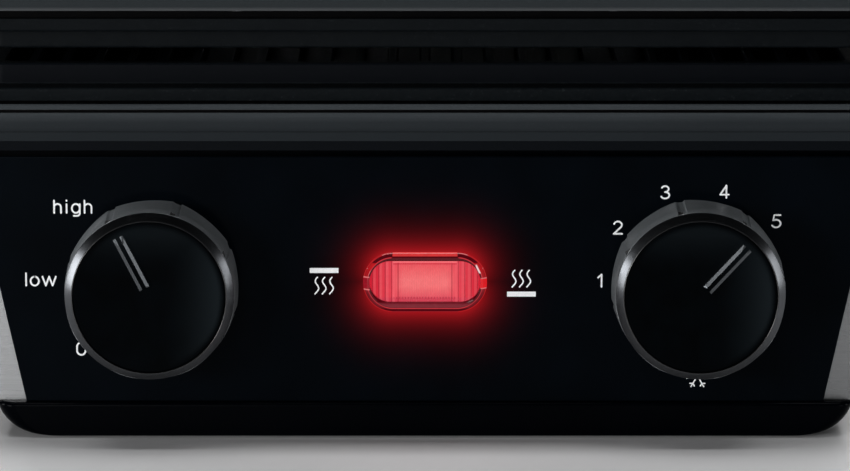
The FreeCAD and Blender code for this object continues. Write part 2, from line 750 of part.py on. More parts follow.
def make_base_rim():
    d = BASE_DEPTH
    layers = [
        rim_slab(0, d, STEP_TOP, LIP_TOP),
        rim_slab(RIM_CREASE_IN, d, LIP_TOP, CREASE_TOP),
        taper(0, RIM_LEAN, d, CREASE_TOP, FACE_TOP),
        rim_slab(RIM_GROOVE_IN, d, FACE_TOP, GROOVE_TOP),
    ]
    bead = rim_slab(RIM_BEAD_IN, d, GROOVE_TOP, RIM_TOP)
    bead = round_top(bead, RIM_TOP, BEAD_R)
    rim = rim_slab(RIM_STEP_IN, d, RIM_BOTTOM, STEP_TOP).fuse(layers + [bead])
    bead_in = RIM_BEAD_IN + RIM_BEAD_W
    rim = rim.cut(rim_slab(bead_in, d, DECK_Z, RIM_TOP + 1))
    rim = rim.cut(rim_slab(bead_in, LID_DEPTH, CHANNEL_Z, RIM_TOP + 1))
    rim = rim.cut(rim_slab(RIM_STEP_IN + RIM_SKIRT_T, d, RIM_BOTTOM - 1, WEB_BOTTOM))
    rim = rim.fuse(ledge(WEB_BOTTOM, LEDGE_Z))
    rim = rim.cut(well(WEB_BOTTOM - 1, RIM_TOP + 1))
    rim = rim.cut(button_hole(BUTTON_Z))
    rim = rim.fuse(spring_rib(WEB_BOTTOM))
    return rim.removeSplitter()


def make_lid_rim():
    d = LID_DEPTH
    z0, z1 = LID_RIM_BOTTOM, LID_RIM_TOP
    face_z = z1 - RIM_GROOVE_H - RIM_BEAD_H
    low = rim_slab(0, d, z0, face_z)
    low = round_top(low, z0, LID_LOW_R)
    layers = [
        rim_slab(RIM_GROOVE_IN, d, face_z, face_z + RIM_GROOVE_H),
        rim_slab(RIM_BEAD_IN, d, face_z + RIM_GROOVE_H, z1),
    ]
    rim = low.fuse(layers)
    web_z = z0 + LID_WEB_UP
    rim = rim.cut(rim_slab(RIM_BEAD_IN + RIM_BEAD_W, d, z0 - 1, web_z))
    rim = rim.cut(rim_slab(COVER_IN + RIM_SKIRT_T, d, COVER_WEB_Z, z1 + 1))
    upper_ledge = 2 * MID_Z - LEDGE_Z
    rim = rim.fuse(ledge(upper_ledge, COVER_WEB_Z))
    rim = rim.cut(well(upper_ledge - 1, z1 + 1))
    rim = rim.cut(mirror_mid(button_hole(BUTTON_Z)))
    rim = rim.fuse(mirror_mid(spring_rib(2 * MID_Z - COVER_WEB_Z)))
    for x, y in cover_posts():
        rim = rim.cut(cyl(x, y, z0, SCREW_R, LID_RIM_H, (0, 0, 1)))
    return rim.removeSplitter()


# Grill plates

def make_plate(drain):
    plate = slab(PLATE_HALF_W, PLATE_Y0, PLATE_Y1, FLANGE_R, LEDGE_Z, FLANGE_TOP)
    plate = round_top(plate, FLANGE_TOP, PLATE_EDGE_R)
    body = slab(BODY_HALF_W, BODY_Y0, BODY_Y1, BODY_R, FLANGE_TOP, PLATE_TOP)
    body = round_top(body, PLATE_TOP, PLATE_EDGE_R)
    plate = plate.fuse([body, well(PLATE_BOTTOM, LEDGE_Z, PLATE_CLEAR)])
    in_x = BODY_HALF_W - PLATE_WALL
    in_y0 = BODY_Y0 + PLATE_WALL
    in_y1 = BODY_Y1 - PLATE_WALL
    plate = plate.cut(slab(in_x, in_y0, in_y1, RECESS_R, PLATE_FLOOR, PLATE_TOP + 1))
    under_w = WELL_HALF_W - PLATE_CLEAR - PLATE_POCKET_IN
    under_y0 = WELL_Y0 + PLATE_CLEAR + PLATE_POCKET_IN
    under_y1 = REFLECTOR_Y1 + POCKET_REAR_GAP
    plate = plate.cut(slab(under_w, under_y0, under_y1, RECESS_R, PLATE_BOTTOM - 1, POCKET_Z))
    rib_top = PLATE_TOP - RIB_DROP
    rib_end = in_y1 - GUTTER_W
    count = int(2 * (in_x - RIB_PITCH / 2) / RIB_PITCH)
    ribs = []
    for i in range(count + 1):
        x = (i - count / 2) * RIB_PITCH
        a, b = RIB_W / 2, RIB_CREST_W / 2
        points = [
            V(x - a, in_y0, PLATE_FLOOR),
            V(x + a, in_y0, PLATE_FLOOR),
            V(x + b, in_y0, rib_top),
            V(x - b, in_y0, rib_top),
        ]
        ribs.append(polygon(points, V(0, rib_end - in_y0, 0)))
    plate = plate.fuse(ribs)
    if drain:
        plate = plate.cut(cyl(0, DRAIN_Y, PLATE_BOTTOM - 1, DRAIN_R, MID_Z - PLATE_BOTTOM, (0, 0, 1)))
    return plate.fuse(make_plate_lug()).removeSplitter()


def make_plate_lug():
    """Catch under the plate: a lug with a nose that points inward."""
    nose_z = BUTTON_Z - TONGUE_T / 2 - HOOK_GAP
    y0, y1 = BUTTON_Y - LUG_HALF_W, BUTTON_Y + LUG_HALF_W
    lug = box(LUG_X, LUG_X + LUG_T, y0, y1, nose_z - TONGUE_T, PLATE_BOTTOM)
    nose = box(LUG_X - NOSE_L, LUG_X, y0, y1, nose_z - TONGUE_T, nose_z)
    return lug.fuse(nose)


def make_release_button():
    """Slim push button with a frame that hooks over the nose of the plate's lug."""
    x1 = RIM_HALF_W - BUTTON_SUNK
    x0 = x1 - BUTTON_L
    cap = button_box(BUTTON_HALF_W, BUTTON_H, x0, x1, BUTTON_Z)
    face = [e for e in cap.Edges if e.BoundBox.XMin > x1 - 1e-6]
    cap = cap.makeFillet(BUTTON_EDGE_R, face)
    bar_x = LUG_X - HOOK_GAP
    frame = button_box(TONGUE_HALF_W, TONGUE_T, bar_x - TONGUE_BAR, x0, BUTTON_Z)
    window_x1 = LUG_X + LUG_T + BUTTON_TRAVEL + HOOK_GAP
    window = button_box(LUG_HALF_W + HOOK_GAP, 2 * TONGUE_T, bar_x, window_x1, BUTTON_Z)
    return cap.fuse(frame.cut(window)).removeSplitter()


def make_release_spring():
    x1 = RIM_HALF_W - BUTTON_SUNK - BUTTON_L
    y = BUTTON_Y - BUTTON_HALF_W + 1.5 * RELEASE_SPRING_R
    x0 = x1 - RELEASE_SPRING_L
    coil = cyl(x0, y, BUTTON_Z, RELEASE_SPRING_R, RELEASE_SPRING_L, (1, 0, 0))
    return coil.cut(cyl(x0, y, BUTTON_Z, RELEASE_SPRING_R - RELEASE_SPRING_WALL, RELEASE_SPRING_L, (1, 0, 0)))


# Heaters, reflectors and fuses

def make_heater():
    """Tubular element bent into runs, with its two pins at the front."""
    y_bend = PIN_Y + HEATER_BEND_R / 2
    y_rear = WELL_Y1 - HEATER_REAR_IN
    half = HEATER_X
    points = [(-half, PIN_Y, HEATER_Z)]
    for i in range(HEATER_RUNS):
        x = -half + i * HEATER_PITCH
        ends = (y_bend, y_rear) if i % 2 == 0 else (y_rear, y_bend)
        if i > 0:
            points.append((x, ends[0], HEATER_Z))
        if i < HEATER_RUNS - 1:
            points.append((x, ends[1], HEATER_Z))
    points.append((half, PIN_Y, HEATER_Z))
    element = tube(points, HEATER_R, HEATER_BEND_R)
    pins = [cyl(s * half, PIN_Y - TERMINAL_L, HEATER_Z, TERMINAL_R, TERMINAL_L, (0, 1, 0)) for s in (-1, 1)]
    return element.fuse(pins)


def make_reflector():
    """Sheet under the heater with turned-up sides and rear, and saddles for the heater's outer runs."""
    w, y0, y1, t = REFLECTOR_HALF_W, REFLECTOR_Y0, REFLECTOR_Y1, REFLECTOR_T
    tray = box(-w, w, y0, y1, REFLECTOR_Z, REFLECTOR_TOP)
    tray = tray.cut(box(-w + t, w - t, y0 - 1, y1 - t, REFLECTOR_Z + t, REFLECTOR_TOP + 1))
    x, y = probe_place()
    tray = tray.cut(cyl(x, y - PROBE_L, REFLECTOR_Z - 1, CAPILLARY_HOLE_R, t + 2, (0, 0, 1)))
    half_w, top = SADDLE_W / 2, HEATER_Z - HEATER_R / 2
    for s in (-1, 1):
        for y in (y0 + SADDLE_END_IN, y1 - SADDLE_END_IN):
            x = s * HEATER_X
            saddle = box(x - half_w, x + half_w, y, y + SADDLE_L, REFLECTOR_Z + t, top)
            tray = tray.fuse(saddle.cut(cyl(x, y - 1, HEATER_Z, HEATER_R, SADDLE_L + 2, (0, 1, 0))))
    return tray.removeSplitter()


def make_thermal_fuse():
    half = FUSE_SIZE / 2
    y = (REFLECTOR_Y0 + REFLECTOR_Y1) / 2
    return box(-half, half, y - half, y + half, POCKET_Z - FUSE_T, POCKET_Z)


# Knobs with their shafts

def aim(angle_deg):
    """Direction on the front seen from outside: 0 is up, clockwise is positive."""
    a = math.radians(angle_deg)
    return V(math.sin(a), 0, math.cos(a))


def lobed_wire(x, y, mid_r, corner_r, phase):
    centre = V(x, y, KNOB_Z)
    step = 360.0 / KNOB_FACETS
    edges = []
    for i in range(KNOB_FACETS):
        a = centre + aim(phase + i * step) * corner_r
        m = centre + aim(phase + (i + 0.5) * step) * mid_r
        b = centre + aim(phase + (i + 1) * step) * corner_r
        edges.append(Part.Arc(a, m, b).toShape())
    return Part.Wire(edges)


def make_knob_shell(x, angle):
    """Lobed shell with its first corner at angle, open at the rear, with a hub on the shaft."""
    facet_y = KNOB_EDGE_Y + KNOB_CHAMFER
    lip_r = KNOB_FRONT_R - KNOB_CHAMFER
    sections = [
        lobed_wire(x, KNOB_REAR_Y, KNOB_R, KNOB_CORNER_R, angle),
        lobed_wire(x, facet_y, FACET_MID_R, FACET_CORNER_R, angle),
        lobed_wire(x, KNOB_EDGE_Y, KNOB_FRONT_R, KNOB_FRONT_R, angle),
        lobed_wire(x, KNOB_FRONT_Y, lip_r, lip_r, angle),
    ]
    knob = Part.makeLoft(sections, True, True)
    for i in range(KNOB_FACETS):
        out = aim(angle + i * 360.0 / KNOB_FACETS)
        side = V(out.z, 0, -out.x)
        wires = []
        for y, r in ((KNOB_REAR_Y + 1, KNOB_CORNER_R), (facet_y, FACET_CORNER_R)):
            tip = V(x, y, KNOB_Z) + out * (r - KNOB_NOTCH)
            p = V(x, y, KNOB_Z) + out * (r + 1) + side * (2 * KNOB_NOTCH)
            q = V(x, y, KNOB_Z) + out * (r + 1) - side * (2 * KNOB_NOTCH)
            wires.append(Part.makePolygon([tip, p, q, tip]))
        knob = knob.cut(Part.makeLoft(wires, True, True))
    inner_r = KNOB_R - KNOB_WALL
    knob = knob.cut(cyl(x, SHAFT_TIP_Y, KNOB_Z, inner_r, KNOB_L, (0, 1, 0)))
    knob = knob.cut(cyl(x, KNOB_FRONT_Y - 1, KNOB_Z, DISC_SEAT_R, DISC_SEAT_Y - KNOB_FRONT_Y + 1, (0, 1, 0)))
    hub = cyl(x, SHAFT_TIP_Y, KNOB_Z, KNOB_HUB_R, KNOB_REAR_Y - SHAFT_TIP_Y, (0, 1, 0))
    hub = hub.cut(shaft_bar(x, SHAFT_TIP_Y, KNOB_L))
    return knob.fuse(hub).removeSplitter()


def make_knob_disc(x, angle):
    """Dished disc with a raised pointer at angle."""
    y = KNOB_FRONT_Y + DISC_SUNK
    r = DISC_SEAT_R - DISC_FIT
    disc = cyl(x, y, KNOB_Z, r, DISC_T, (0, 1, 0))
    dish_r = (r ** 2 + DISC_DISH ** 2) / (2 * DISC_DISH)
    disc = disc.cut(Part.makeSphere(dish_r, V(x, y + DISC_DISH - dish_r, KNOB_Z)))
    out = aim(angle)
    side = V(out.z, 0, -out.x)
    start_y = y + DISC_DISH * (1 - (POINTER_START / r) ** 2)
    end_y = y + DISC_DISH * (1 - (POINTER_END / r) ** 2)
    foot = V(x, start_y, KNOB_Z) + out * POINTER_START
    root = foot + V(0, POINTER_ROOT, 0)
    crest = foot - V(0, POINTER_H, 0)
    wide, top = side * (POINTER_W / 2), side * (POINTER_TOP_W / 2)
    points = [root - wide, foot - wide, crest - top, crest + top, foot + wide, root + wide]
    run = out * (POINTER_END - POINTER_START) + V(0, end_y - start_y, 0)
    return disc.fuse(polygon(points, run))


def shaft_bar(x, y0, length):
    """Round bar with a flat, along y."""
    bar = cyl(x, y0, KNOB_Z, SHAFT_R, length, (0, 1, 0))
    r = SHAFT_R
    return bar.cut(box(x - r, x + r, y0 - 1, y0 + length + 1, KNOB_Z + r - SHAFT_FLAT, KNOB_Z + r))


def make_shaft(x, body_l):
    round_y = KNOB_REAR_Y + SHAFT_END_GAP
    flat = shaft_bar(x, SHAFT_TIP_Y, round_y - SHAFT_TIP_Y)
    end_y = INNER_FRONT_Y + body_l * SHAFT_IN_SHARE - SHAFT_END_GAP
    return flat.fuse(cyl(x, round_y, KNOB_Z, SHAFT_R, end_y - round_y, (0, 1, 0))).removeSplitter()


def make_switch_body(x, width, length):
    """Switch or thermostat case behind the front wall, with its bush through the panel."""
    half = width / 2
    body = box(x - half, x + half, INNER_FRONT_Y, INNER_FRONT_Y + length, KNOB_Z - half, KNOB_Z + half)
    upright = [e for e in body.Edges if e.BoundBox.YLength > length - 1e-6]
    body = body.makeChamfer(SWITCH_CHAMFER, upright)
    bush_y = PANEL_Y + BUSH_SUNK
    body = body.fuse(cyl(x, bush_y, KNOB_Z, BUSH_R, INNER_FRONT_Y - bush_y, (0, 1, 0)))
    bore_l = INNER_FRONT_Y + length * SHAFT_IN_SHARE - bush_y
    return body.cut(cyl(x, bush_y - 1, KNOB_Z, SHAFT_R + SHAFT_FIT, bore_l + 1, (0, 1, 0))).removeSplitter()


def probe_place():
    """Front end of the probe: between two heater runs, behind the front bends."""
    return HEATER_PITCH, REFLECTOR_Y0 + PROBE_L + 3 * HEATER_BEND_R


def make_probe():
    """Bulb under the plate and its thin tube down to the rear of the thermostat."""
    x, y = probe_place()
    z = POCKET_Z - PROBE_R - HEATER_GAP
    y0 = y - CAPILLARY_LEAD
    bulb = cyl(x, y0, z, PROBE_R, PROBE_L, (0, 1, 0))
    low = KNOB_Z + THERMOSTAT_W / 4
    rear = INNER_FRONT_Y + THERMOSTAT_L
    points = [(x, y0, z), (x, y - PROBE_L, z), (x, y - PROBE_L, low)]
    points += [(KNOB_X, y - PROBE_L, low), (KNOB_X, rear, low)]
    return bulb.fuse(tube(points, CAPILLARY_R, CAPILLARY_BEND))


# Lamp

def make_lamp_lens():
    front = LENS_FRONT_Y
    lens = stadium(0, LAMP_Z, LENS_HALF_STRAIGHT, LENS_R, front, PANEL_Y)
    edge = [e for e in lens.Edges if e.BoundBox.YMax < front + 1e-6]
    lens = lens.makeChamfer(LENS_CHAMFER, edge)
    neck = stadium(0, LAMP_Z, LENS_HALF_STRAIGHT, LENS_R - NECK_T, PANEL_Y, NECK_L)
    inner = stadium(0, LAMP_Z, LENS_INNER_HALF_STRAIGHT, LENS_INNER_R, front - 1, NECK_L + 1)
    return lens.fuse(neck).cut(inner).removeSplitter()


def make_lamp_diffuser():
    y = LENS_FRONT_Y + DIFFUSER_SUNK
    r = LENS_INNER_R - DIFFUSER_FIT
    return stadium(0, LAMP_Z, LENS_INNER_HALF_STRAIGHT, r, y, y + DIFFUSER_T)


def make_lamp_housing():
    y0 = INNER_FRONT_Y
    y1 = y0 + LAMP_BOX_L
    neck_r = LENS_R - NECK_T + FIT
    box_out = stadium(0, LAMP_Z, LENS_HALF_STRAIGHT, neck_r + LAMP_BOX_T, y0, y1)
    return box_out.cut(stadium(0, LAMP_Z, LENS_HALF_STRAIGHT, neck_r, y0 - 1, y1 - LAMP_BOX_T))


def make_glow_lamps():
    y1 = INNER_FRONT_Y + LAMP_BOX_L - LAMP_BOX_T
    lamps = []
    for s in (-1, 1):
        lamp = cyl(s * GLOW_LAMP_X, y1 - GLOW_LAMP_L, LAMP_Z, GLOW_LAMP_R, GLOW_LAMP_L, (0, 1, 0))
        tip = [e for e in lamp.Edges if e.BoundBox.YMax < y1 - GLOW_LAMP_L + 1e-6]
        lamps.append(lamp.makeFillet(GLOW_TIP_R, tip))
    return Part.makeCompound(lamps)


# Terminal block and wires

def make_terminal_block():
    width = BLOCK_POLES * BLOCK_PITCH
    y1, z1 = BLOCK_Y + BLOCK_L, FLOOR_Z + BLOCK_H
    block = box(BLOCK_X, BLOCK_X + width, BLOCK_Y, y1, FLOOR_Z, z1)
    for i in range(BLOCK_POLES):
        x = BLOCK_X + BLOCK_PITCH * (i + 0.5)
        block = block.cut(cyl(x, BLOCK_Y + BLOCK_L / 2, FLOOR_Z + BLOCK_H / 2, CLAMP_R, BLOCK_H, (0, 0, 1)))
    for i in range(1, BLOCK_POLES):
        x = BLOCK_X + BLOCK_PITCH * i - BLOCK_SLIT_W / 2
        block = block.cut(box(x, x + BLOCK_SLIT_W, BLOCK_Y - 1, y1 + 1, z1 - BLOCK_SLIT_H, z1 + 1))
    return block


def make_wire_harness():
    """Leads between the terminal block, the two switches, the lamp and the lower heater."""
    low = FLOOR_Z + WIRE_FLOOR_GAP
    lower = low - WIRE_LANE_GAP
    mid = KNOB_Z - SWITCH_W / 4
    switch_back = INNER_FRONT_Y + SWITCH_L
    stat_back = INNER_FRONT_Y + THERMOSTAT_L
    cross_y = (WELL_Y0 + WELL_Y1) / 2
    pin_y = PIN_Y - TERMINAL_L + 2 * WIRE_R
    pin_z = HEATER_Z - TERMINAL_R
    x0, x1, x2 = [BLOCK_X + BLOCK_PITCH * (i + 0.5) for i in range(BLOCK_POLES)]
    far = WIRE_BACK + WIRE_LANE_GAP
    near = WIRE_BACK - 2 * WIRE_LANE_GAP
    lane_y = cross_y - 2 * WIRE_LANE_GAP
    lamp_z = LAMP_Z + WIRE_LANE_GAP
    a, b, side = -HEATER_X, -KNOB_X, -WIRE_SIDE_X
    live = [(x1, BLOCK_Y, low), (x1, far, low), (x1, far, mid), (x1, stat_back, mid)]
    heater = [(x2, BLOCK_Y, low), (x2, cross_y, low), (a, cross_y, low), (a, pin_y, low), (a, pin_y, pin_z)]
    feed = [(x0, BLOCK_Y, lower), (x0, lane_y, lower), (side, lane_y, lower), (side, far, lower)]
    feed += [(side, far, mid), (side, switch_back, mid)]
    lid = [(b, switch_back, mid), (b, WIRE_BACK, mid), (b, WIRE_BACK, WIRE_LONG_Z)]
    lid += [(b, WIRE_REAR_Y, WIRE_LONG_Z), (b, WIRE_REAR_Y, WEB_BOTTOM)]
    lamp = [(-LAMP_WIRE_X, INNER_FRONT_Y + LAMP_BOX_L, lamp_z), (-LAMP_WIRE_X, near, lamp_z)]
    lamp += [(side, near, lamp_z), (side, switch_back, lamp_z)]
    routes = [live, heater, feed, lid, lamp]
    wires = [tube(points, WIRE_R, WIRE_BEND) for points in routes]
    stat_top = KNOB_Z + THERMOSTAT_W / 2
    wires.append(cyl(HEATER_X, pin_y, stat_top, WIRE_R, pin_z - stat_top, (0, 0, 1)))
    return Part.makeCompound(wires)


# Drain and drip tray

def make_drain_spout():
    low = TRAY_Z + TRAY_H + SPOUT_OVER_TRAY
    r = DRAIN_R + SPOUT_WALL
    pipe = cyl(0, DRAIN_Y, low, r, PLATE_BOTTOM - low, (0, 0, 1))
    funnel_z = PLATE_BOTTOM - SPOUT_FUNNEL_T
    pipe = pipe.fuse(cyl(0, DRAIN_Y, funnel_z, SPOUT_FUNNEL_R, SPOUT_FUNNEL_T, (0, 0, 1)))
    return pipe.cut(cyl(0, DRAIN_Y, low - 1, DRAIN_R, PLATE_BOTTOM - low + 2, (0, 0, 1))).removeSplitter()


def make_drip_tray():
    t = TRAY_WALL
    w = TRAY_HALF_W
    tray = box(-w, w, TRAY_Y0, BASE_DEPTH + TRAY_GAP, TRAY_Z, TRAY_Z + TRAY_H)
    upright = [e for e in tray.Edges if e.BoundBox.ZLength > TRAY_H - 1e-6 and e.BoundBox.YMax < TRAY_Y0 + 1]
    tray = tray.makeFillet(TRAY_CORNER_R, upright)
    lip_y = BASE_DEPTH + TRAY_GAP
    over = TRAY_LIP_OVER
    lip_z0 = TRAY_Z - TRAY_GAP
    lip = box(-w - over, w + over, lip_y, lip_y + TRAY_LIP_T, lip_z0, TRAY_Z + TRAY_H + over)
    front = [e for e in lip.Edges if e.BoundBox.YMin > lip_y + TRAY_LIP_T - 1e-6]
    lip = lip.makeFillet(TRAY_LIP_R, front)
    pull_z = TRAY_Z + TRAY_H - PULL_DROP
    pull = box(-PULL_W / 2, PULL_W / 2, lip_y, lip_y + TRAY_LIP_T + TRAY_PULL, pull_z, pull_z + PULL_T)
    tray = tray.fuse([lip, pull])
    tray = tray.cut(box(-w + t, w - t, TRAY_Y0 + t, lip_y - t, TRAY_Z + t, TRAY_Z + TRAY_H + 1))
    return tray.removeSplitter()


# Hinge

def tangent(px, pz, cx, cz, r, turn):
    """Where the line from a point touches a circle, on the side that turn chooses."""
    d = math.hypot(px - cx, pz - cz)
    base = math.atan2(pz - cz, px - cx)
    a = base + turn * math.acos(r / d)
    return cx + r * math.cos(a), cz + r * math.sin(a)


def make_hinge_arm():
    """Right arm: from the lid rim's rear face down to its eye on the shaft."""
    y0 = LID_DEPTH
    top = (y0 + ARM_ROOT_L, LID_RIM_TOP - RIM_BEAD_H)
    low = (y0, LID_RIM_BOTTOM + ARM_ROOT_UP)
    p = tangent(top[0], top[1], HINGE_Y, HINGE_Z, ARM_BOSS_R, -1)
    q = tangent(low[0], low[1], HINGE_Y, HINGE_Z, ARM_BOSS_R, 1)
    shape = [low, (y0, top[1]), top, p, (HINGE_Y, HINGE_Z), q]
    arm = polygon([V(ARM_X, y, z) for y, z in shape], V(ARM_T, 0, 0))
    arm = arm.fuse(cyl(ARM_X, HINGE_Y, HINGE_Z, ARM_BOSS_R, ARM_T, (1, 0, 0)))
    arm = arm.cut(rim_slab(RIM_GROOVE_IN, LID_DEPTH, LID_RIM_BOTTOM, LID_RIM_TOP))
    bore = cyl(ARM_X - 1, HINGE_Y, HINGE_Z, HINGE_R + HINGE_FIT, ARM_T + 2, (1, 0, 0))
    return arm.cut(bore).removeSplitter()


def make_hinge_tower():
    """Right tower: an upright on the rear deck with a slot for the slide block."""
    round_z = TOWER_TOP - TOWER_R
    tower = box(TOWER_X, TOWER_X + TOWER_W, HINGE_Y - TOWER_R, HINGE_Y + TOWER_R, DECK_Z, round_z)
    tower = tower.fuse(cyl(TOWER_X, HINGE_Y, round_z, TOWER_R, TOWER_W, (1, 0, 0))).removeSplitter()
    x1 = TOWER_X + TOWER_W
    outer = [e for e in tower.Edges if e.BoundBox.XMin > x1 - 1e-6 and e.BoundBox.ZMax > DECK_Z + 1]
    tower = tower.makeFillet(TOWER_EDGE_R, outer)
    half = SLOT_W / 2
    z0 = HINGE_Z - half + BLOCK_GAP - SLOT_END_GAP
    z1 = HINGE_Z + HINGE_TRAVEL + half - BLOCK_GAP + SLOT_END_GAP
    return tower.cut(box(TOWER_X - 1, TOWER_X + SLOT_DEPTH, HINGE_Y - half, HINGE_Y + half, z0, z1))


def make_slide_block():
    half = SLOT_W / 2 - BLOCK_GAP
    x0, x1 = TOWER_X + BLOCK_IN, TOWER_X + SLOT_DEPTH - BLOCK_GAP
    block = box(x0, x1, HINGE_Y - half, HINGE_Y + half, HINGE_Z - half, HINGE_Z + half)
    return block.cut(cyl(x0 - 1, HINGE_Y, HINGE_Z, HINGE_R, SLOT_DEPTH + 2, (1, 0, 0)))


def make_hinge_shaft():
    half = TOWER_X + SLOT_DEPTH - SHAFT_END_IN
    return cyl(-half, HINGE_Y, HINGE_Z, HINGE_R, 2 * half, (1, 0, 0))


def make_hinge_washers():
    washers = []
    for s in (-1, 1):
        x0 = ARM_X + ARM_T + WASHER_GAP
        x1 = TOWER_X - WASHER_GAP
        x = x0 if s > 0 else -x1
        ring = cyl(x, HINGE_Y, HINGE_Z, WASHER_R, x1 - x0, (1, 0, 0))
        washers.append(ring.cut(cyl(x - 1, HINGE_Y, HINGE_Z, HINGE_R, x1 - x0 + 2, (1, 0, 0))))
    return Part.makeCompound(washers)


# Lid cover and handle

def cover_posts():
    x, y = COVER_POST_X, COVER_POST_IN
    return [(-x, y), (x, y), (-x, LID_DEPTH - y), (x, LID_DEPTH - y)]


def cover_solid(t):
    """Body of the lid cover, drawn in by the sheet's thickness t."""
    low_in = COVER_IN + t
    top_in = COVER_IN + COVER_TAPER + t
    low = rect_wire(RIM_HALF_W - low_in, low_in, LID_DEPTH - low_in, COVER_LOW_R - t, LID_RIM_TOP)
    top = rect_wire(RIM_HALF_W - top_in, top_in, LID_DEPTH - top_in, COVER_TOP_R - t, COVER_TOP - t)
    solid = Part.makeLoft([low, top], True, True)
    return round_top(solid, COVER_TOP - t, COVER_EDGE_R - t)


def make_lid_cover():
    cover = cover_solid(0.0)
    inset = COVER_PANEL_IN
    z1 = COVER_TOP + COVER_PANEL_H
    panel = slab(RIM_HALF_W - inset, inset, LID_DEPTH - inset, COVER_PANEL_R, COVER_TOP - COVER_T / 2, z1)
    panel = round_top(panel, z1, COVER_PANEL_EDGE_R)
    cover = cover.fuse(panel)
    posts = []
    for x, y in cover_posts():
        posts.append(cyl(x, y, COVER_WEB_Z, COVER_POST_R, COVER_POST_L, (0, 0, 1)))
    cover = cover.cut(cover_solid(COVER_T)).fuse(posts)
    for x, y in cover_posts():
        cover = cover.cut(cyl(x, y, COVER_WEB_Z - 1, SCREW_R, SCREW_L, (0, 0, 1)))
    for s in (-1, 1):
        cover = cover.cut(cyl(s * BRACKET_X, 0, GRIP_Z, SCREW_R + FIT, 2 * COVER_EDGE_R, (0, 1, 0)))
    return cover.removeSplitter()


def make_lid_spacers():
    """Four posts between the lid cover's top and the upper reflector."""
    z0 = 2 * MID_Z - REFLECTOR_Z
    z1 = COVER_TOP - COVER_T
    x, r = REFLECTOR_POST_X, SPACER_R
    return Part.makeCompound(at_four(lambda s, k: cyl(s * x, reflector_post_y(k), z0, r, z1 - z0, (0, 0, 1))))


def make_lid_screws():
    z = LID_RIM_BOTTOM + LID_WEB_UP - SCREW_HEAD_H
    return Part.makeCompound([screw(x, y, z, (0, 0, 1), SCREW_L) for x, y in cover_posts()])


def grip_solid():
    """Bar of the handle: a long-hole section along x with rounded ends."""
    r = GRIP_H / 2
    half = GRIP_D / 2 - r
    x = -GRIP_HALF_L
    a, b = V(x, GRIP_Y - half, GRIP_Z + r), V(x, GRIP_Y + half, GRIP_Z + r)
    c, d = V(x, GRIP_Y + half, GRIP_Z - r), V(x, GRIP_Y - half, GRIP_Z - r)
    edges = [
        Part.LineSegment(a, b).toShape(),
        Part.Arc(b, V(x, GRIP_Y + half + r, GRIP_Z), c).toShape(),
        Part.LineSegment(c, d).toShape(),
        Part.Arc(d, V(x, GRIP_Y - half - r, GRIP_Z), a).toShape(),
    ]
    bar = Part.Face(Part.Wire(edges)).extrude(V(2 * GRIP_HALF_L, 0, 0))
    ends = [e for e in bar.Edges if e.BoundBox.XLength < 1e-6]
    return bar.makeFillet(GRIP_END_R, ends)


def inlay_box(clear):
    half = GRIP_HALF_L - INLAY_END_IN + clear
    w = INLAY_H / 2 + clear
    top = GRIP_Z + GRIP_H / 2
    return box(-half, half, GRIP_Y - w, GRIP_Y + w, top - INLAY_T, top + clear)


def make_handle_grip():
    grip = grip_solid().cut(inlay_box(INLAY_FIT))
    for s in (-1, 1):
        grip = grip.cut(cyl(s * BRACKET_X, GRIP_Y, GRIP_Z, SCREW_R, GRIP_D, (0, 1, 0)))
    return grip


def make_grip_inlay():
    return inlay_box(0.0)


def make_handle_bracket():
    half_w, half_h = BRACKET_W / 2, BRACKET_H / 2
    y1 = -GRIP_Y
    block = box(BRACKET_X - half_w, BRACKET_X + half_w, GRIP_Y, y1, GRIP_Z - half_h, GRIP_Z + half_h)
    long_edges = [e for e in block.Edges if e.BoundBox.YLength > y1]
    block = block.makeFillet(BRACKET_SEAT, long_edges)
    block = block.cut(cover_solid(0.0)).cut(grip_solid())
    solid = min(block.Solids, key=lambda s: s.CenterOfMass.y)
    return solid.cut(cyl(BRACKET_X, GRIP_Y, GRIP_Z, SCREW_R + FIT, 2 * y1, (0, 1, 0)))


def make_handle_screws():
    y = COVER_IN + COVER_TAPER / 2 + 2 * COVER_T + SCREW_HEAD_H
    length = y - GRIP_Y - SHAFT_END_GAP
    return Part.makeCompound([screw(s * BRACKET_X, y, GRIP_Z, (0, -1, 0), length) for s in (-1, 1)])


PARTS = {}


def add(name, shape):
    PARTS[name] = shape


def add_pair(name, right):
    PARTS[name + "_right"] = right
    PARTS[name + "_left"] = mirror_x(right)


add("base_pan", make_base_pan())
add("tray_rails", make_tray_rails())
add("rubber_feet", make_rubber_feet())
add("base_screws", make_base_screws())
add_pair("side_cover", make_side_cover())
add("front_panel", make_front_panel())
add("rear_cover", make_rear_cover())
add("cord_gland", make_cord_gland())
add("base_rim", make_base_rim())
add("lower_plate", make_plate(True))
add("lower_heater", make_heater())
add("lower_reflector", make_reflector())
add("lower_thermal_fuse", make_thermal_fuse())
add("drain_spout", make_drain_spout())
add("mode_switch_body", make_switch_body(-KNOB_X, SWITCH_W, SWITCH_L))
add("thermostat_body", make_switch_body(KNOB_X, THERMOSTAT_W, THERMOSTAT_L))
add("thermostat_probe", make_probe())
add("mode_knob_shell", make_knob_shell(-KNOB_X, MODE_CORNER_ANGLE))
add("mode_knob_disc", make_knob_disc(-KNOB_X, MODE_ANGLE))
add("mode_switch_shaft", make_shaft(-KNOB_X, SWITCH_L))
add("heat_knob_shell", make_knob_shell(KNOB_X, HEAT_CORNER_ANGLE))
add("heat_knob_disc", make_knob_disc(KNOB_X, HEAT_ANGLE))
add("thermostat_shaft", make_shaft(KNOB_X, THERMOSTAT_L))
add("lamp_lens", make_lamp_lens())
add("lamp_diffuser", make_lamp_diffuser())
add("lamp_housing", make_lamp_housing())
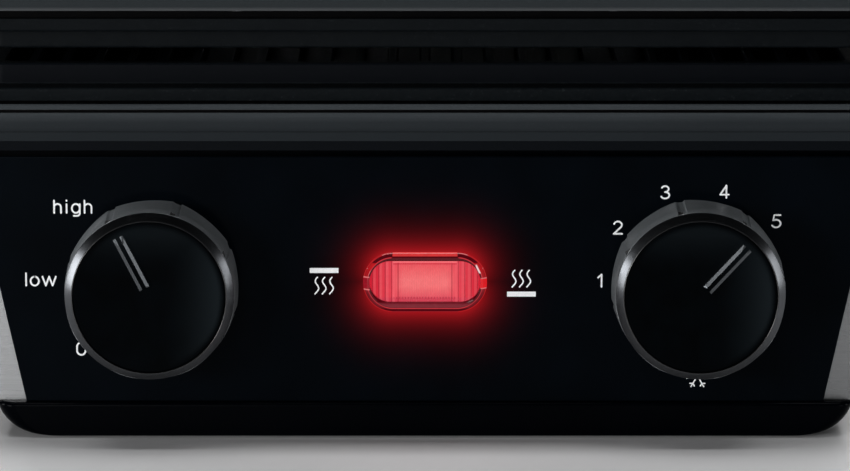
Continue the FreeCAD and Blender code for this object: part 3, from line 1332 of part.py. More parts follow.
add("glow_lamps", make_glow_lamps())
add("terminal_block", make_terminal_block())
add("wire_harness", make_wire_harness())
add("drip_tray", make_drip_tray())
add("lower_release_button", make_release_button())
add("lower_release_spring", make_release_spring())
add_pair("hinge_tower", make_hinge_tower())
add_pair("slide_block", make_slide_block())
add("hinge_shaft", make_hinge_shaft())
add("hinge_washers", make_hinge_washers())
add_pair("hinge_arm", make_hinge_arm())
add("lid_rim", make_lid_rim())
add("lid_cover", make_lid_cover())
add("lid_screws", make_lid_screws())
add("lid_spacers", make_lid_spacers())
add("upper_plate", mirror_mid(make_plate(False)))
add("upper_heater", mirror_mid(make_heater()))
add("upper_reflector", mirror_mid(make_reflector()))
add("upper_thermal_fuse", mirror_mid(make_thermal_fuse()))
add("upper_release_button", mirror_mid(make_release_button()))
add("upper_release_spring", mirror_mid(make_release_spring()))
add_pair("handle_bracket", make_handle_bracket())
add("handle_grip", make_handle_grip())
add("grip_inlay", make_grip_inlay())
add("handle_screws", make_handle_screws())

os.makedirs("parts", exist_ok=True)
for name, shape in PARTS.items():
    shape = shape.copy()
    shape.translate(V(0, Y_SHIFT, 0))
    print(name, shape.isValid(), len(shape.Solids), round(shape.Volume / 1000, 2))
    shape.exportStep("parts/" + name + ".step")
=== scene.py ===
import json
import math

import bpy
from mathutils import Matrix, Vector


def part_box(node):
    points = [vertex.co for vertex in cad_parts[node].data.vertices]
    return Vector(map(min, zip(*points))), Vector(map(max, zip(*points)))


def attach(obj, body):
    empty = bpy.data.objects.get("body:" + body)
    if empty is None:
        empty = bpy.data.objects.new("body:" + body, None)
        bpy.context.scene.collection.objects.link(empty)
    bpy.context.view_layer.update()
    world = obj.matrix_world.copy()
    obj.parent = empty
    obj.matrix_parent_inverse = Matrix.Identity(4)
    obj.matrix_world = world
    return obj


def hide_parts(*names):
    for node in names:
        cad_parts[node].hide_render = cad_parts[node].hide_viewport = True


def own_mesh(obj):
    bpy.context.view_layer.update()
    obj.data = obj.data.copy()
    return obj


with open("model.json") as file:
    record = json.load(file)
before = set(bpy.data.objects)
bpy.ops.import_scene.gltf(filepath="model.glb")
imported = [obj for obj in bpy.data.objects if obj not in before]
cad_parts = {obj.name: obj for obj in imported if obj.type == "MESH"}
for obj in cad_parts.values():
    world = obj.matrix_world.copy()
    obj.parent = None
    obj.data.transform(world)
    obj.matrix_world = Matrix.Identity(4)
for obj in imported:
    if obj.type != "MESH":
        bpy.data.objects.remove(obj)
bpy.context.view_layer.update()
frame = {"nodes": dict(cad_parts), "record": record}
nodes = frame["nodes"]

# The sizes below are millimetres in the source's own frame, whose depth counts from
# the front of the plinth. BACK is how far the frame's origin lies behind it.
MM = 0.001
BACK = 131.75

# Camera, matched to the photograph
TARGET_Z = 65.82
PANEL_Y = 2.0
CAMERA_DISTANCE = 1560.0
CAMERA_ELEVATION = 10.0
CAMERA_LENS = 206.5

# Photograph: image centre and scale on the plane of the front panel
PHOTO_X = 425.0
PHOTO_Y = 235.5
PX_PER_MM_X = 3.125
PX_PER_MM_Z = 3.0776

# Knobs, as in the source
KNOB_X = 87.2
KNOB_Z = 50.0
KNOB_L = 23.0
KNOB_CHAMFER = 2.3
KNOB_REAR_Y = 1.2
KNOB_FRONT_Y = KNOB_REAR_Y - KNOB_L
KNOB_EDGE_Y = KNOB_FRONT_Y + KNOB_CHAMFER
KNOB_R, KNOB_CORNER_R = 27.4, 28.0
FACETS = 8
FACET_STEP = 360.0 / FACETS
FACET_Y = KNOB_EDGE_Y + KNOB_CHAMFER
FACET_R, FACET_CORNER_R = 26.9, 27.3
EDGE_R = 26.8
LIP_R = EDGE_R - KNOB_CHAMFER
SEAT_R = LIP_R - 0.2
MODE_ANGLE, HEAT_ANGLE = -27.0, 42.6
MODE_CORNER_ANGLE, HEAT_CORNER_ANGLE = -27.8, 32.5

# Channel and pit at each corner of a knob; their widths are degrees round its axis
NOTCH = 0.55
NOTCH_HALF = 3.2
PIT_HALF = 1.9
PIT_OFF = -1.2
PIT_DEPTH = 1.3
PIT_FRONT = 0.7
PIT_REAR = 5.0
FINE_STEP = 0.4
FINE_STEPS = 9
COARSE_STEPS = 18
RING_SIDES = 180

# Disc and pointer, as in the source
DISC_R = SEAT_R - 0.2
DISC_SUNK = 0.5
DISC_BACK_Y = -19.4
DISH = 0.6
POINTER_W = 3.4
POINTER_TOP_W = 1.4
POINTER_H = 0.5
POINTER_START = 3.0
POINTER_END = 21.5
POINTER_ROOT_L = 0.5
POINTER_TIP_L = 2.4
DISC_LINES = 22
DISC_STEPS = 24

# Rims and plates: heights as in the source, and where the trim's paint changes
RIM_HALF_W = 157.0
BASE_DEPTH = 296.0
LID_DEPTH = 244.0
STEP_TOP = 96.7
CREASE_TOP = 99.9
FACE_TOP = 105.7
GROOVE_TOP = 106.7
LID_RIM_BOTTOM = 138.4
LID_FACE_TOP = 149.4
LID_GROOVE_TOP = 150.4
LOWER_BODY_Z = 112.2
PLATE_TOP_Z = 118.7
TRIM_T = 1.5
STEP_IN = 0.9

# Lamp: sizes as in the source, its middle and its window a little higher, as photographed
LAMP_Z = 50.8
WINDOW_UP = 0.35
LENS_R = 9.6
LENS_HALF = 10.25
LENS_FRONT_Y = PANEL_Y - 2.6
LENS_CHAMFER = 1.3
LENS_SIDE_X = 16.0
WINDOW_HALF = 11.2
WINDOW_R = 6.6
WINDOW_Y = LENS_FRONT_Y + 1.4
WINDOW_COLUMNS = 720
WINDOW_ROWS = 14
RIB_PITCH = 0.74
RIB_H = 0.14
RIB_ZONE = 8.45
BAR_PITCH = 2.05
DOT_PITCH = 0.93
STRIP_HALF = 10.4
END_SIDES = 40

# Release springs: wire radius and turns
SPRING_WIRE = 0.2
SPRING_SIDES = 8
SPRING_TURNS = 7
SPRING_STEPS = 24

# Printed legend: widths of its strokes, thickness of the ink, heights of its characters
INK_W = 0.57
WAVE_W = 0.46
FROST_W = 0.43
INK_T = 0.03
LAYER_T = 0.002
DIGIT_H = 4.0
DIGIT_W = 2.7
X_H = 2.9
ASC_H = 4.0

# Pixels of the photograph: lower left of each digit and word, upper left of each grill
# sign, middle of the star
DIGIT_SPOTS = {1: (598.3, 286.8), 2: (613.6, 233.8), 3: (660.9, 198.5), 4: (719.8, 197.9), 5: (772.3, 227.4),
               0: (75.7, 355.3)}
WORD_SPOTS = {"high": (54.5, 212.9), "low": (25.5, 285.6)}
UPPER_SIGN_SPOT = (309.6, 268.0)
LOWER_SIGN_SPOT = (507.2, 270.4)
FROST_SPOT = (698.75, 376.4)

# Floor
FLOOR_HALF = 4000.0


def srgb(r, g, b):
    """Linear colour of an 8-bit screen colour."""
    out = []
    for c in (r, g, b):
        c /= 255
        out.append(c / 12.92 if c <= 0.04045 else ((c + 0.055) / 1.055) ** 2.4)
    return (*out, 1.0)


def at(x, y, z):
    return Vector((x, y - BACK, z)) * MM


def on_panel(px, py):
    """Point of the front panel that the photograph shows at a pixel, in mm across and up."""
    return (px - PHOTO_X) / PX_PER_MM_X, TARGET_Z + (PHOTO_Y - py) / PX_PER_MM_Z


# Materials

class Paint:
    """A procedural material on the piece's own coordinates, in millimetres."""

    def __init__(self, name, **settings):
        self.name = name
        self.material = bpy.data.materials.new(name)
        self.material.use_nodes = True
        self.tree = self.material.node_tree
        self.shader = self.tree.nodes["Principled BSDF"]
        place = self.node("ShaderNodeTexCoord").outputs["Object"]
        self.place = self.scaled(place, (1000, 1000, 1000))
        for key, value in settings.items():
            self.shader.inputs[key.replace("_", " ")].default_value = value

    def node(self, kind, **props):
        n = self.tree.nodes.new(kind)
        for key, value in props.items():
            setattr(n, key, value)
        return n

    def put(self, socket, value):
        if isinstance(value, bpy.types.NodeSocket):
            self.tree.links.new(value, socket)
        else:
            socket.default_value = value

    def to(self, name, value):
        self.put(self.shader.inputs[name], value)

    def math(self, op, a, b=0.0, clamp=False):
        n = self.node("ShaderNodeMath", operation=op, use_clamp=clamp)
        self.put(n.inputs[0], a)
        self.put(n.inputs[1], b)
        return n.outputs[0]

    def plus(self, a, b):
        return self.math("ADD", a, b)

    def minus(self, a, b):
        return self.math("SUBTRACT", a, b)

    def times(self, first, *others):
        for other in others:
            first = self.math("MULTIPLY", first, other)
        return first

    def most(self, first, *others):
        for other in others:
            first = self.math("MAXIMUM", first, other)
        return first

    def distance(self, a, b):
        """Length of the line that goes a one way and b square to it."""
        return self.math("SQRT", self.plus(self.times(a, a), self.times(b, b)))

    def scaled(self, vector, by):
        n = self.node("ShaderNodeVectorMath", operation="MULTIPLY")
        self.put(n.inputs[0], vector)
        self.put(n.inputs[1], by)
        return n.outputs[0]

    def xyz(self):
        n = self.node("ShaderNodeSeparateXYZ")
        self.put(n.inputs[0], self.place)
        return n.outputs

    def noise(self, size, detail=2.0, stretch=(1, 1, 1), rough=0.5):
        """Noise whose blobs are about size millimetres, times stretch along each axis."""
        n = self.node("ShaderNodeTexNoise")
        by = tuple(1.0 / (size * s) for s in stretch)
        self.put(n.inputs["Vector"], self.scaled(self.place, by))
        n.inputs["Scale"].default_value = 1.0
        n.inputs["Detail"].default_value = detail
        n.inputs["Roughness"].default_value = rough
        return n.outputs["Fac"]

    def cells(self, size):
        """Distance from the middle of cells that are about size millimetres, as a share of size."""
        n = self.node("ShaderNodeTexVoronoi")
        self.put(n.inputs["Vector"], self.scaled(self.place, (1 / size,) * 3))
        n.inputs["Scale"].default_value = 1.0
        return n.outputs["Distance"]

    def span(self, value, low, high, out_low=0.0, out_high=1.0):
        """Maps low to high onto out_low to out_high, clamped."""
        n = self.node("ShaderNodeMapRange")
        for socket, v in zip(n.inputs, (value, low, high, out_low, out_high)):
            self.put(socket, v)
        return n.outputs[0]

    def mix(self, factor, a, b):
        n = self.node("ShaderNodeMix", data_type="RGBA")
        self.put(n.inputs["Factor"], factor)
        self.put(n.inputs[6], a)
        self.put(n.inputs[7], b)
        return n.outputs[2]

    def bump(self, height, depth, normal=None):
        """Normal of a relief depth millimetres high, on top of another normal."""
        n = self.node("ShaderNodeBump")
        n.inputs["Distance"].default_value = depth * MM
        n.inputs["Strength"].default_value = 1.0
        self.put(n.inputs["Height"], height)
        if normal is not None:
            self.put(n.inputs["Normal"], normal)
        return n.outputs[0]

    def rounded(self, radius):
        """Normal that rounds the piece's sharp edges."""
        n = self.node("ShaderNodeBevel", samples=4)
        n.inputs["Radius"].default_value = radius * MM
        return n.outputs[0]

    def edges(self, radius):
        """1 along the piece's edges, 0 on its faces."""
        geometry = self.node("ShaderNodeNewGeometry")
        n = self.node("ShaderNodeVectorMath", operation="DOT_PRODUCT")
        self.put(n.inputs[0], self.rounded(radius))
        self.put(n.inputs[1], geometry.outputs["Normal"])
        return self.span(n.outputs["Value"], 0.985, 0.87)


def tint(colour, by):
    return (*(min(1.0, c * by) for c in colour[:3]), 1.0)


def moulded(name, colour, rough, grain=0.5, depth=0.02, tone=0.15, wear=1.6, spec=0.5, edge=0.25):
    """Moulded plastic or paint: fine grain, faint cloudiness, polished and lighter along the edges."""
    p = Paint(name)
    p.shader.inputs["Specular IOR Level"].default_value = spec
    cloud = p.noise(18, 3)
    fine = p.noise(grain, 2)
    base = p.mix(p.span(cloud, 0.3, 0.7), tint(colour, 1 - tone), tint(colour, 1 + tone))
    p.to("Base Color", p.mix(p.edges(edge), base, tint(colour, wear)))
    smear = p.noise(7, 4, (2.4, 1, 1))
    p.to("Roughness", p.span(smear, 0.25, 0.75, rough * 0.86, rough * 1.16))
    p.to("Normal", p.bump(fine, depth, p.rounded(edge)))
    return p


def brushed(name, colour, rough, depth=0.006, tone=0.12, along=(60, 60, 0.25), edge=0.3, across=(0, 0, 1),
            metal=1.0):
    """Brushed sheet: long thin strokes, softer clouds, small bright scratches along the grain."""
    p = Paint(name, Metallic=metal, Anisotropic=0.75)
    strokes = p.noise(1.0, 3, along, 0.7)
    fine = p.noise(0.45, 2, along, 0.6)
    cloud = p.noise(30, 2)
    both = p.plus(p.times(strokes, 0.6), p.times(fine, 0.4))
    base = p.mix(p.span(both, 0.36, 0.64), tint(colour, 1 - tone), tint(colour, 1 + tone * 0.6))
    base = p.mix(p.span(cloud, 0.3, 0.7, 0.0, 0.25), base, tint(colour, 0.9))
    p.to("Base Color", p.mix(p.edges(edge), base, tint(colour, 1.25)))
    p.to("Roughness", p.span(both, 0.3, 0.7, rough * 0.8, rough * 1.2))
    p.to("Normal", p.bump(both, depth, p.rounded(edge)))
    tangent = p.node("ShaderNodeCombineXYZ")
    for socket, part in zip(tangent.inputs, across):
        socket.default_value = part
    p.to("Tangent", tangent.outputs[0])
    return p


def turned(name, colour, rough, grain=0.3, depth=0.01, tone=0.1):
    """Plain metal: drawn, plated or turned, with fine marks and darker spots."""
    p = Paint(name, Metallic=1.0)
    fine = p.noise(grain, 3, (3, 3, 1), 0.6)
    spots = p.noise(4, 3)
    base = p.mix(p.span(spots, 0.35, 0.7), tint(colour, 1 + tone), tint(colour, 1 - 2 * tone))
    p.to("Base Color", base)
    p.to("Roughness", p.span(fine, 0.3, 0.7, rough * 0.75, rough * 1.25))
    p.to("Normal", p.bump(fine, depth, p.rounded(0.15)))
    return p


def make_rim_paint(name, depth, face_low, face_high, groove_top, lower_face_shade, painted_lip_shading):
    """Anthracite trim with a crowned face, brushed sheen and fine sparkle; painted shade, black on the inner
    faces and dark in the groove and towards the bottom of the face; black on the recessed step; a painted
    tone along the bottom lip.
    """
    p = Paint(name)
    p.shader.inputs["Specular IOR Level"].default_value = 0.04
    x, y, z = p.xyz()
    front = p.plus(y, BACK)
    side = p.minus(RIM_HALF_W, p.math("ABSOLUTE", x))
    ends = p.math("MINIMUM", front, p.minus(depth, front))
    inset = p.math("MINIMUM", side, ends)
    # Painted shade: the inner faces, more than TRIM_T in from the outline, are painted black.
    shaded_inside = p.span(inset, TRIM_T, TRIM_T + 0.05)
    # Black on the recessed step under the face.
    under = p.span(z, STEP_TOP + 0.02, STEP_TOP - 0.02)
    step = p.times(under, p.span(inset, STEP_IN - 0.1, STEP_IN))
    # Painted shade in the groove: it is darkened most of the way to black.
    groove = p.times(p.span(z, face_high - 0.15, face_high + 0.1), p.span(z, groove_top, groove_top - 0.2))
    black = p.most(shaded_inside, step, p.times(groove, 0.72))
    streak = p.noise(1.0, 3, (30, 30, 0.35), 0.6)
    fleck = p.span(p.cells(0.55), 0.16, 0.04)
    base = p.mix(p.span(streak, 0.3, 0.7), srgb(49, 53, 56), srgb(55, 59, 62))
    # Painted shade: the face darkens towards its bottom, to the given tone.
    base = p.mix(p.span(z, face_high - 0.6, face_high - 3.0, 0.0, 0.8), base, lower_face_shade)
    base = p.mix(p.times(fleck, 0.3), base, srgb(104, 108, 111))
    base = p.mix(p.edges(0.3), base, srgb(76, 78, 81))
    # Painted light along the bottom lip: the given tone, a painted highlight where it is paler than the face,
    # painted shade where it is darker.
    base = p.mix(p.span(z, face_low + 1.3, face_low, 0.0, 0.9), base, painted_lip_shading)
    shade = p.mix(shaded_inside, srgb(7, 10, 14), srgb(0, 0, 1))
    p.to("Base Color", p.mix(black, base, shade))
    p.to("Roughness", p.span(p.noise(6, 3, (3, 1, 1)), 0.25, 0.75, 0.36, 0.48))
    middle, half = (face_low + face_high) / 2, (face_high - face_low) / 2
    off = p.math("DIVIDE", p.minus(z, middle), half)
    crown = p.math("SUBTRACT", 1.0, p.times(off, off), clamp=True)
    normal = p.bump(crown, 0.35, p.rounded(0.2))
    p.to("Normal", p.bump(p.noise(0.3, 2), 0.012, normal))
    return p


def knob_axis_distance(p):
    """Distance from the axis of the knob that the point belongs to, and the parts of it across and up."""
    x, _, z = p.xyz()
    centre = p.minus(p.math("ABSOLUTE", x), KNOB_X)
    across = p.times(centre, p.math("SIGN", x))
    up = p.minus(z, KNOB_Z)
    reach = p.distance(across, up)
    return reach, across, up


def make_knob_paint():
    """Dark satin shell with fine grain and edges worn a little paler."""
    p = Paint("knob_shell", Metallic=0.35)
    p.shader.inputs["Specular IOR Level"].default_value = 0.5
    fine = p.noise(0.35, 2)
    cloud = p.noise(5, 3)
    wall = p.mix(p.span(cloud, 0.3, 0.7), srgb(92, 96, 99), srgb(101, 105, 108))
    p.to("Base Color", p.mix(p.edges(0.12), wall, srgb(142, 145, 148)))
    p.to("Roughness", p.span(fine, 0.3, 0.7, 0.46, 0.56))
    p.to("Normal", p.bump(fine, 0.004, p.rounded(0.08)))
    return p


def make_ring_paint():
    """Polished dark ring round the disc; its inner wall is painted black as shade where the ring meets the
    disc.
    """
    p = Paint("knob_ring")
    reach, _, _ = knob_axis_distance(p)
    # Painted shade: the inner wall, from the lip down to the disc's seat, is black and not metallic.
    inner = p.span(reach, LIP_R + 0.1, LIP_R)
    fine = p.noise(0.35, 2)
    smear = p.noise(4, 3)
    metal = p.mix(p.span(smear, 0.3, 0.7), srgb(76, 78, 81), srgb(82, 84, 87))
    p.to("Base Color", p.mix(inner, metal, srgb(4, 5, 7)))
    p.to("Metallic", p.minus(1.0, inner))
    p.to("Roughness", p.span(fine, 0.3, 0.7, 0.23, 0.27))
    p.to("Normal", p.bump(fine, 0.003, p.rounded(0.06)))
    return p


def make_disc_paint():
    """Near-black satin disc, faintly clouded, with a painted highlight: paler towards its right and top,
    where the light grazes it.
    """
    p = Paint("knob_disc")
    p.shader.inputs["Specular IOR Level"].default_value = 0.015
    reach, across, up = knob_axis_distance(p)
    cloud = p.noise(6, 3)
    base = p.mix(p.span(cloud, 0.3, 0.7), srgb(1, 2, 3), srgb(2, 4, 6))
    # Painted highlight: paler towards the disc's right and top, fading out before its rim.
    painted_highlight = p.most(p.span(across, 3, 21), p.times(p.span(up, 6, 20), 0.7))
    painted_highlight = p.times(painted_highlight, painted_highlight, p.span(reach, DISC_R - 0.6, DISC_R - 2.2))
    p.to("Base Color", p.mix(painted_highlight, base, srgb(21, 26, 29)))
    p.to("Roughness", p.span(p.noise(0.5, 2), 0.3, 0.7, 0.3, 0.36))
    p.to("Normal", p.bump(p.noise(0.25, 2), 0.003))
    return p


def make_panel_paint():
    """Gloss black front, with painted red light around the lamp's lens: emission on the panel itself, fading
    away from the lens.
    """
    p = moulded("panel_black", srgb(3, 6, 10), 0.12, grain=1.6, depth=0.003, tone=0.2, wear=1.0, spec=0.015)
    x, _, z = p.xyz()
    # Painted light: red emission on the panel, strongest at the lens and fading away from it, stands in for
    # the lamp's light falling on the panel.
    across = p.most(p.minus(p.math("ABSOLUTE", x), LENS_HALF), 0.0)
    up = p.minus(z, LAMP_Z)
    reach = p.distance(across, up)
    past = p.most(p.minus(reach, LENS_R), 0.0)
    fade = p.math("EXPONENT", p.math("DIVIDE", past, -3.45))
    side = p.math("DIVIDE", p.math("ABSOLUTE", up), p.most(reach, 0.1))
    painted_glow = p.times(fade, p.span(side, 0.0, 1.0, 0.27, 1.0))
    p.to("Emission Color", srgb(255, 34, 42))
    p.to("Emission Strength", p.times(painted_glow, 0.37))
    return p


def make_plate_paint(name, shade_low, shade_high):
    """Dark non-stick coat: soft mottling, a few faint speckles, a thin skin of orange peel; painted shade on
    the lower plate's raised body, and darker by up to half above it.
    """
    p = Paint(name)
    p.shader.inputs["Specular IOR Level"].default_value = 0.05
    _, _, z = p.xyz()
    cloud = p.noise(9, 3)
    mottle = p.span(p.noise(1.3, 3), 0.35, 0.68)
    base = p.mix(p.span(cloud, 0.3, 0.7), srgb(11, 15, 18), srgb(15, 19, 22))
    base = p.mix(p.times(mottle, 0.45), base, srgb(24, 28, 30))
    dots = p.times(p.span(p.cells(1.2), 0.28, 0.08), p.span(p.noise(2.4, 1), 0.5, 0.62))
    base = p.mix(p.times(dots, 0.16), base, srgb(92, 98, 102))
    # Painted shade: the lower plate's raised body, between the two given heights, is darkened almost to
    # black.
    body = p.times(p.span(z, shade_low, shade_low + 0.4), p.span(z, shade_high, shade_high - 0.4))
    # From 4 mm above that body's top upward, the coat is darkened by up to half.
    base = p.mix(p.span(z, shade_high + 4, shade_high + 6, 0.0, 0.5), base, srgb(3, 5, 7))
    p.to("Base Color", p.mix(p.times(body, 0.85), base, srgb(4, 6, 11)))
    skin = p.noise(0.7, 2)
    p.to("Roughness", p.span(skin, 0.3, 0.7, 0.36, 0.5))
    p.to("Normal", p.bump(skin, 0.02, p.rounded(0.3)))
    return p


def make_lens_paint():
    """Clear moulded lens rim, lit red from behind: pale lines on its edges, a vivid strip along its top,
    a pane at each end, and two painted highlights on its right shoulder that stand in for reflections of the
    lamps."""
    p = Paint("lens_clear", Roughness=0.08, IOR=1.49)
    p.shader.inputs["Specular IOR Level"].default_value = 0.25
    p.to("Base Color", p.mix(p.noise(3, 2), srgb(24, 2, 6), srgb(36, 4, 9)))
    x, _, z = p.xyz()
    up = p.minus(z, LAMP_Z)
    off = p.math("ABSOLUTE", x)
    past = p.most(p.minus(off, LENS_HALF), 0.0)
    reach = p.distance(past, up)
    inward = p.minus(LENS_R, reach)

    def band(value, low, high, soft=0.06):
        """1 between low and high, 0 outside."""
        return p.times(p.span(value, low - soft, low + soft), p.span(value, high + soft, high - soft))

    across = p.span(off, STRIP_HALF + 0.1, STRIP_HALF - 0.1)
    top = p.times(p.span(up, 8.55, 8.7), across)
    ends = p.span(off, STRIP_HALF, STRIP_HALF + 0.6)
    low = p.span(up, -6.2, -6.9)
    frame_part = p.most(ends, low)
    outer = band(inward, 0.0, 0.28)
    inner = band(inward, LENS_CHAMFER - 0.1, LENS_CHAMFER + 0.2)
    lines = p.times(p.most(p.times(outer, 0.4), inner), frame_part)
    slant = p.times(up, p.span(x, -1, 1, 0.9, 1.1))
    ticks = p.most(band(slant, 1.5, 1.85, 0.08), band(slant, -2.1, -1.75, 0.08))
    beside = p.span(off, LENS_SIDE_X, LENS_SIDE_X + 0.4)
    ticks = p.times(ticks, beside, p.span(inward, 2.0, 1.7))
    pane = p.times(band(up, -1.7, 1.5, 0.1), beside)
    bevel = p.times(low, p.span(inward, LENS_CHAMFER + 0.2, LENS_CHAMFER + 0.5))
    red = p.mix(p.times(lines, 0.8), srgb(78, 2, 10), srgb(226, 58, 66))
    red = p.mix(p.times(outer, ends, 0.5), red, srgb(214, 34, 34))
    sides = p.times(p.span(off, 12.5, 14.5), p.span(inward, 0.2, 0.5))
    sides = p.times(sides, p.span(inward, 1.5, 1.2), p.span(up, 6.6, 6.2))
    side_red = p.mix(p.span(up, -4.0, 5.0), srgb(120, 26, 34), srgb(206, 30, 34))
    red = p.mix(p.times(sides, 0.75), red, side_red)
    red = p.mix(bevel, red, srgb(122, 36, 46))
    red = p.mix(pane, red, p.mix(p.span(x, -1, 1), srgb(150, 20, 34), srgb(224, 30, 36)))
    red = p.mix(ticks, red, srgb(226, 116, 118))
    # Painted highlights: two pale marks on the right shoulder, reflections of the lamps painted into the
    # emission.
    painted_glint_z = p.minus(up, p.times(p.minus(x, 16.9), -2.1))
    painted_glints = p.most(band(painted_glint_z, 4.0, 5.2, 0.2), band(painted_glint_z, 1.9, 3.2, 0.2))
    spot = p.times(band(up, 3.2, 5.9, 0.2), band(x, 16.2, 18.1, 0.2))
    red = p.mix(p.times(painted_glints, spot), red, srgb(250, 214, 214))
    red = p.mix(top, red, srgb(216, 56, 56))
    p.to("Emission Color", red)
    p.to("Emission Strength", p.span(p.noise(1.6, 2), 0.3, 0.7, 0.86, 0.98))
    p.to("Normal", p.bump(p.noise(1.2, 2), 0.01))
    return p


def make_window_paint():
    """Ribbed red window, lit from two lamps behind it: pale in the middle, deep red at the ends."""
    p = Paint("lens_red", Roughness=0.3)
    p.shader.inputs["Specular IOR Level"].default_value = 0.15
    x, _, z = p.xyz()
    up = p.minus(z, LAMP_Z + WINDOW_UP)
    off = p.math("ABSOLUTE", x)
    wave = p.math("SINE", p.times(x, 2 * math.pi / RIB_PITCH))
    red = p.mix(p.span(off, 8.4, 16.5), srgb(228, 74, 88), srgb(204, 20, 44))
    pale = p.mix(p.span(up, 0.5, 6.0), srgb(243, 116, 118), srgb(232, 80, 88))
    pale = p.mix(p.span(up, -1.5, -5.0), pale, srgb(226, 84, 96))
    red = p.mix(p.span(off, 10.5, 6.8), red, pale)
    red = p.mix(p.span(up, -4.9, -5.6, 0.0, 0.75), red, srgb(196, 52, 74))
    shade = p.times(p.span(wave, -1, 1), p.span(off, RIB_ZONE, RIB_ZONE + 0.3, 0.14, 0.0))
    slot = p.math("MODULO", p.minus(off, RIB_ZONE), BAR_PITCH)
    bars = p.times(p.span(slot, 0.55, 0.2), p.span(off, RIB_ZONE - 0.1, RIB_ZONE))
    light = p.times(p.span(slot, 1.0, 1.3), p.span(off, RIB_ZONE, RIB_ZONE + 0.1))
    dotted = p.span(p.math("SINE", p.times(x, 2 * math.pi / DOT_PITCH)), 0.1, 0.6)
    row = p.times(p.span(up, -5.0, -5.15), p.span(up, -5.75, -5.6))
    dots = p.times(dotted, row, p.span(off, STRIP_HALF, STRIP_HALF - 0.5))
    strip = p.span(off, STRIP_HALF, STRIP_HALF - 0.4)
    edge = p.times(p.span(up, WINDOW_R - 0.6, WINDOW_R - 0.45), strip)
    crease = p.times(p.span(up, WINDOW_R - 1.2, WINDOW_R - 1.05), p.span(up, WINDOW_R - 0.6, WINDOW_R - 0.75))
    crease = p.times(crease, strip)
    red = p.mix(p.most(shade, p.times(bars, 0.55)), red, srgb(140, 8, 34))
    red = p.mix(p.times(light, 0.22), red, srgb(255, 120, 128))
    red = p.mix(p.times(dots, 0.55), red, srgb(150, 20, 48))
    red = p.mix(p.times(crease, 0.6), red, srgb(190, 30, 52))
    red = p.mix(edge, red, srgb(250, 112, 118))
    p.to("Base Color", p.mix(p.noise(2, 2), srgb(60, 4, 10), srgb(76, 8, 14)))
    p.to("Emission Color", red)
    p.to("Emission Strength", p.span(p.noise(1.5, 2), 0.3, 0.7, 0.93, 1.0))
    return p


paints = {paint.name: paint for paint in (
    moulded("pan_black", srgb(1, 2, 4), 0.2, grain=0.9, depth=0.003, spec=0.02, wear=1.0),
    brushed("side_steel", srgb(148, 149, 150), 0.3),
    make_panel_paint(),
    moulded("rear_black", srgb(20, 20, 22), 0.5, grain=0.35, depth=0.05),
    # Base rim: painted shade towards the bottom of the face and along the lip.
    make_rim_paint("rim_anthracite", BASE_DEPTH, CREASE_TOP, FACE_TOP, GROOVE_TOP,
                   srgb(31, 35, 38), srgb(31, 35, 38)),
    moulded("rubber_black", srgb(24, 24, 24), 0.8, grain=0.6, depth=0.06, spec=0.3),
    turned("screw_steel", srgb(150, 152, 156), 0.42),
    make_plate_paint("plate_coat", LOWER_BODY_Z, PLATE_TOP_Z),
    turned("heater_steel", srgb(104, 98, 92), 0.45, tone=0.2),
    brushed("reflector_sheet", srgb(212, 212, 210), 0.28, along=(60, 0.4, 60),
            across=(1, 0, 0)),
    moulded("switch_plastic", srgb(222, 217, 204), 0.5, grain=0.4, depth=0.02, wear=1.05),
    turned("probe_copper", srgb(196, 122, 82), 0.28),
    make_knob_paint(),
    make_disc_paint(),
    make_lens_paint(),
    make_window_paint(),
    moulded("lamp_white", srgb(226, 224, 216), 0.45, grain=0.5, depth=0.02, wear=1.03),
    moulded("lamp_glass", srgb(240, 150, 120), 0.05, grain=1, depth=0.002, wear=1.1),
    moulded("wire_sleeve", srgb(214, 206, 188), 0.85, grain=0.35, depth=0.12, tone=0.1,
            wear=1.02),
    moulded("tray_plastic", srgb(26, 26, 28), 0.42, grain=0.5, depth=0.03),
    turned("spring_steel", srgb(168, 170, 174), 0.25),
    moulded("slide_white", srgb(232, 230, 222), 0.4, grain=0.6, depth=0.02, wear=1.03),
    moulded("hinge_black", srgb(22, 23, 25), 0.45, grain=0.4, depth=0.04),
    turned("shaft_steel", srgb(188, 190, 194), 0.2),
    brushed("lid_steel", srgb(200, 201, 202), 0.3, along=(60, 0.25, 0.25), across=(0, 1, 0.05),
            metal=0.7),
    moulded("grip_black", srgb(20, 20, 22), 0.38, grain=0.45, depth=0.03),
    brushed("inlay_steel", srgb(206, 207, 208), 0.26, along=(60, 0.25, 0.25),
            across=(0, 1, 0.05)),
)}
slot_of = {s["node"]: s["material_slot"] for s in frame["record"]["subparts"]}
# Lid rim: painted shade towards the bottom of the face, and a painted highlight along the lower lip.
lid_rim_paint = make_rim_paint("rim_anthracite_lid", LID_DEPTH, LID_RIM_BOTTOM, LID_FACE_TOP, LID_GROOVE_TOP,
                               srgb(38, 42, 44), srgb(82, 84, 86))
for name, obj in nodes.items():
    obj.data.materials.clear()
    paint = lid_rim_paint if name == "lid_rim" else paints[slot_of[name]]
    obj.data.materials.append(paint.material)


# Mesh helpers

def new_piece(name, verts, faces, body, slot, sharp=30.0, smooth=True):
    """Mesh piece that rides on a body, with a slot's paint if it has one of its own."""
    mesh = bpy.data.meshes.new(name)
    mesh.from_pydata(verts, [], faces)
    mesh.validate()
    if smooth:
        mesh.shade_smooth()
        mesh.set_sharp_from_angle(angle=math.radians(sharp))
    obj = bpy.data.objects.new(name, mesh)
    bpy.context.scene.collection.objects.link(obj)
    if slot in paints:
        mesh.materials.append(paints[slot].material)
    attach(obj, body)
    return obj


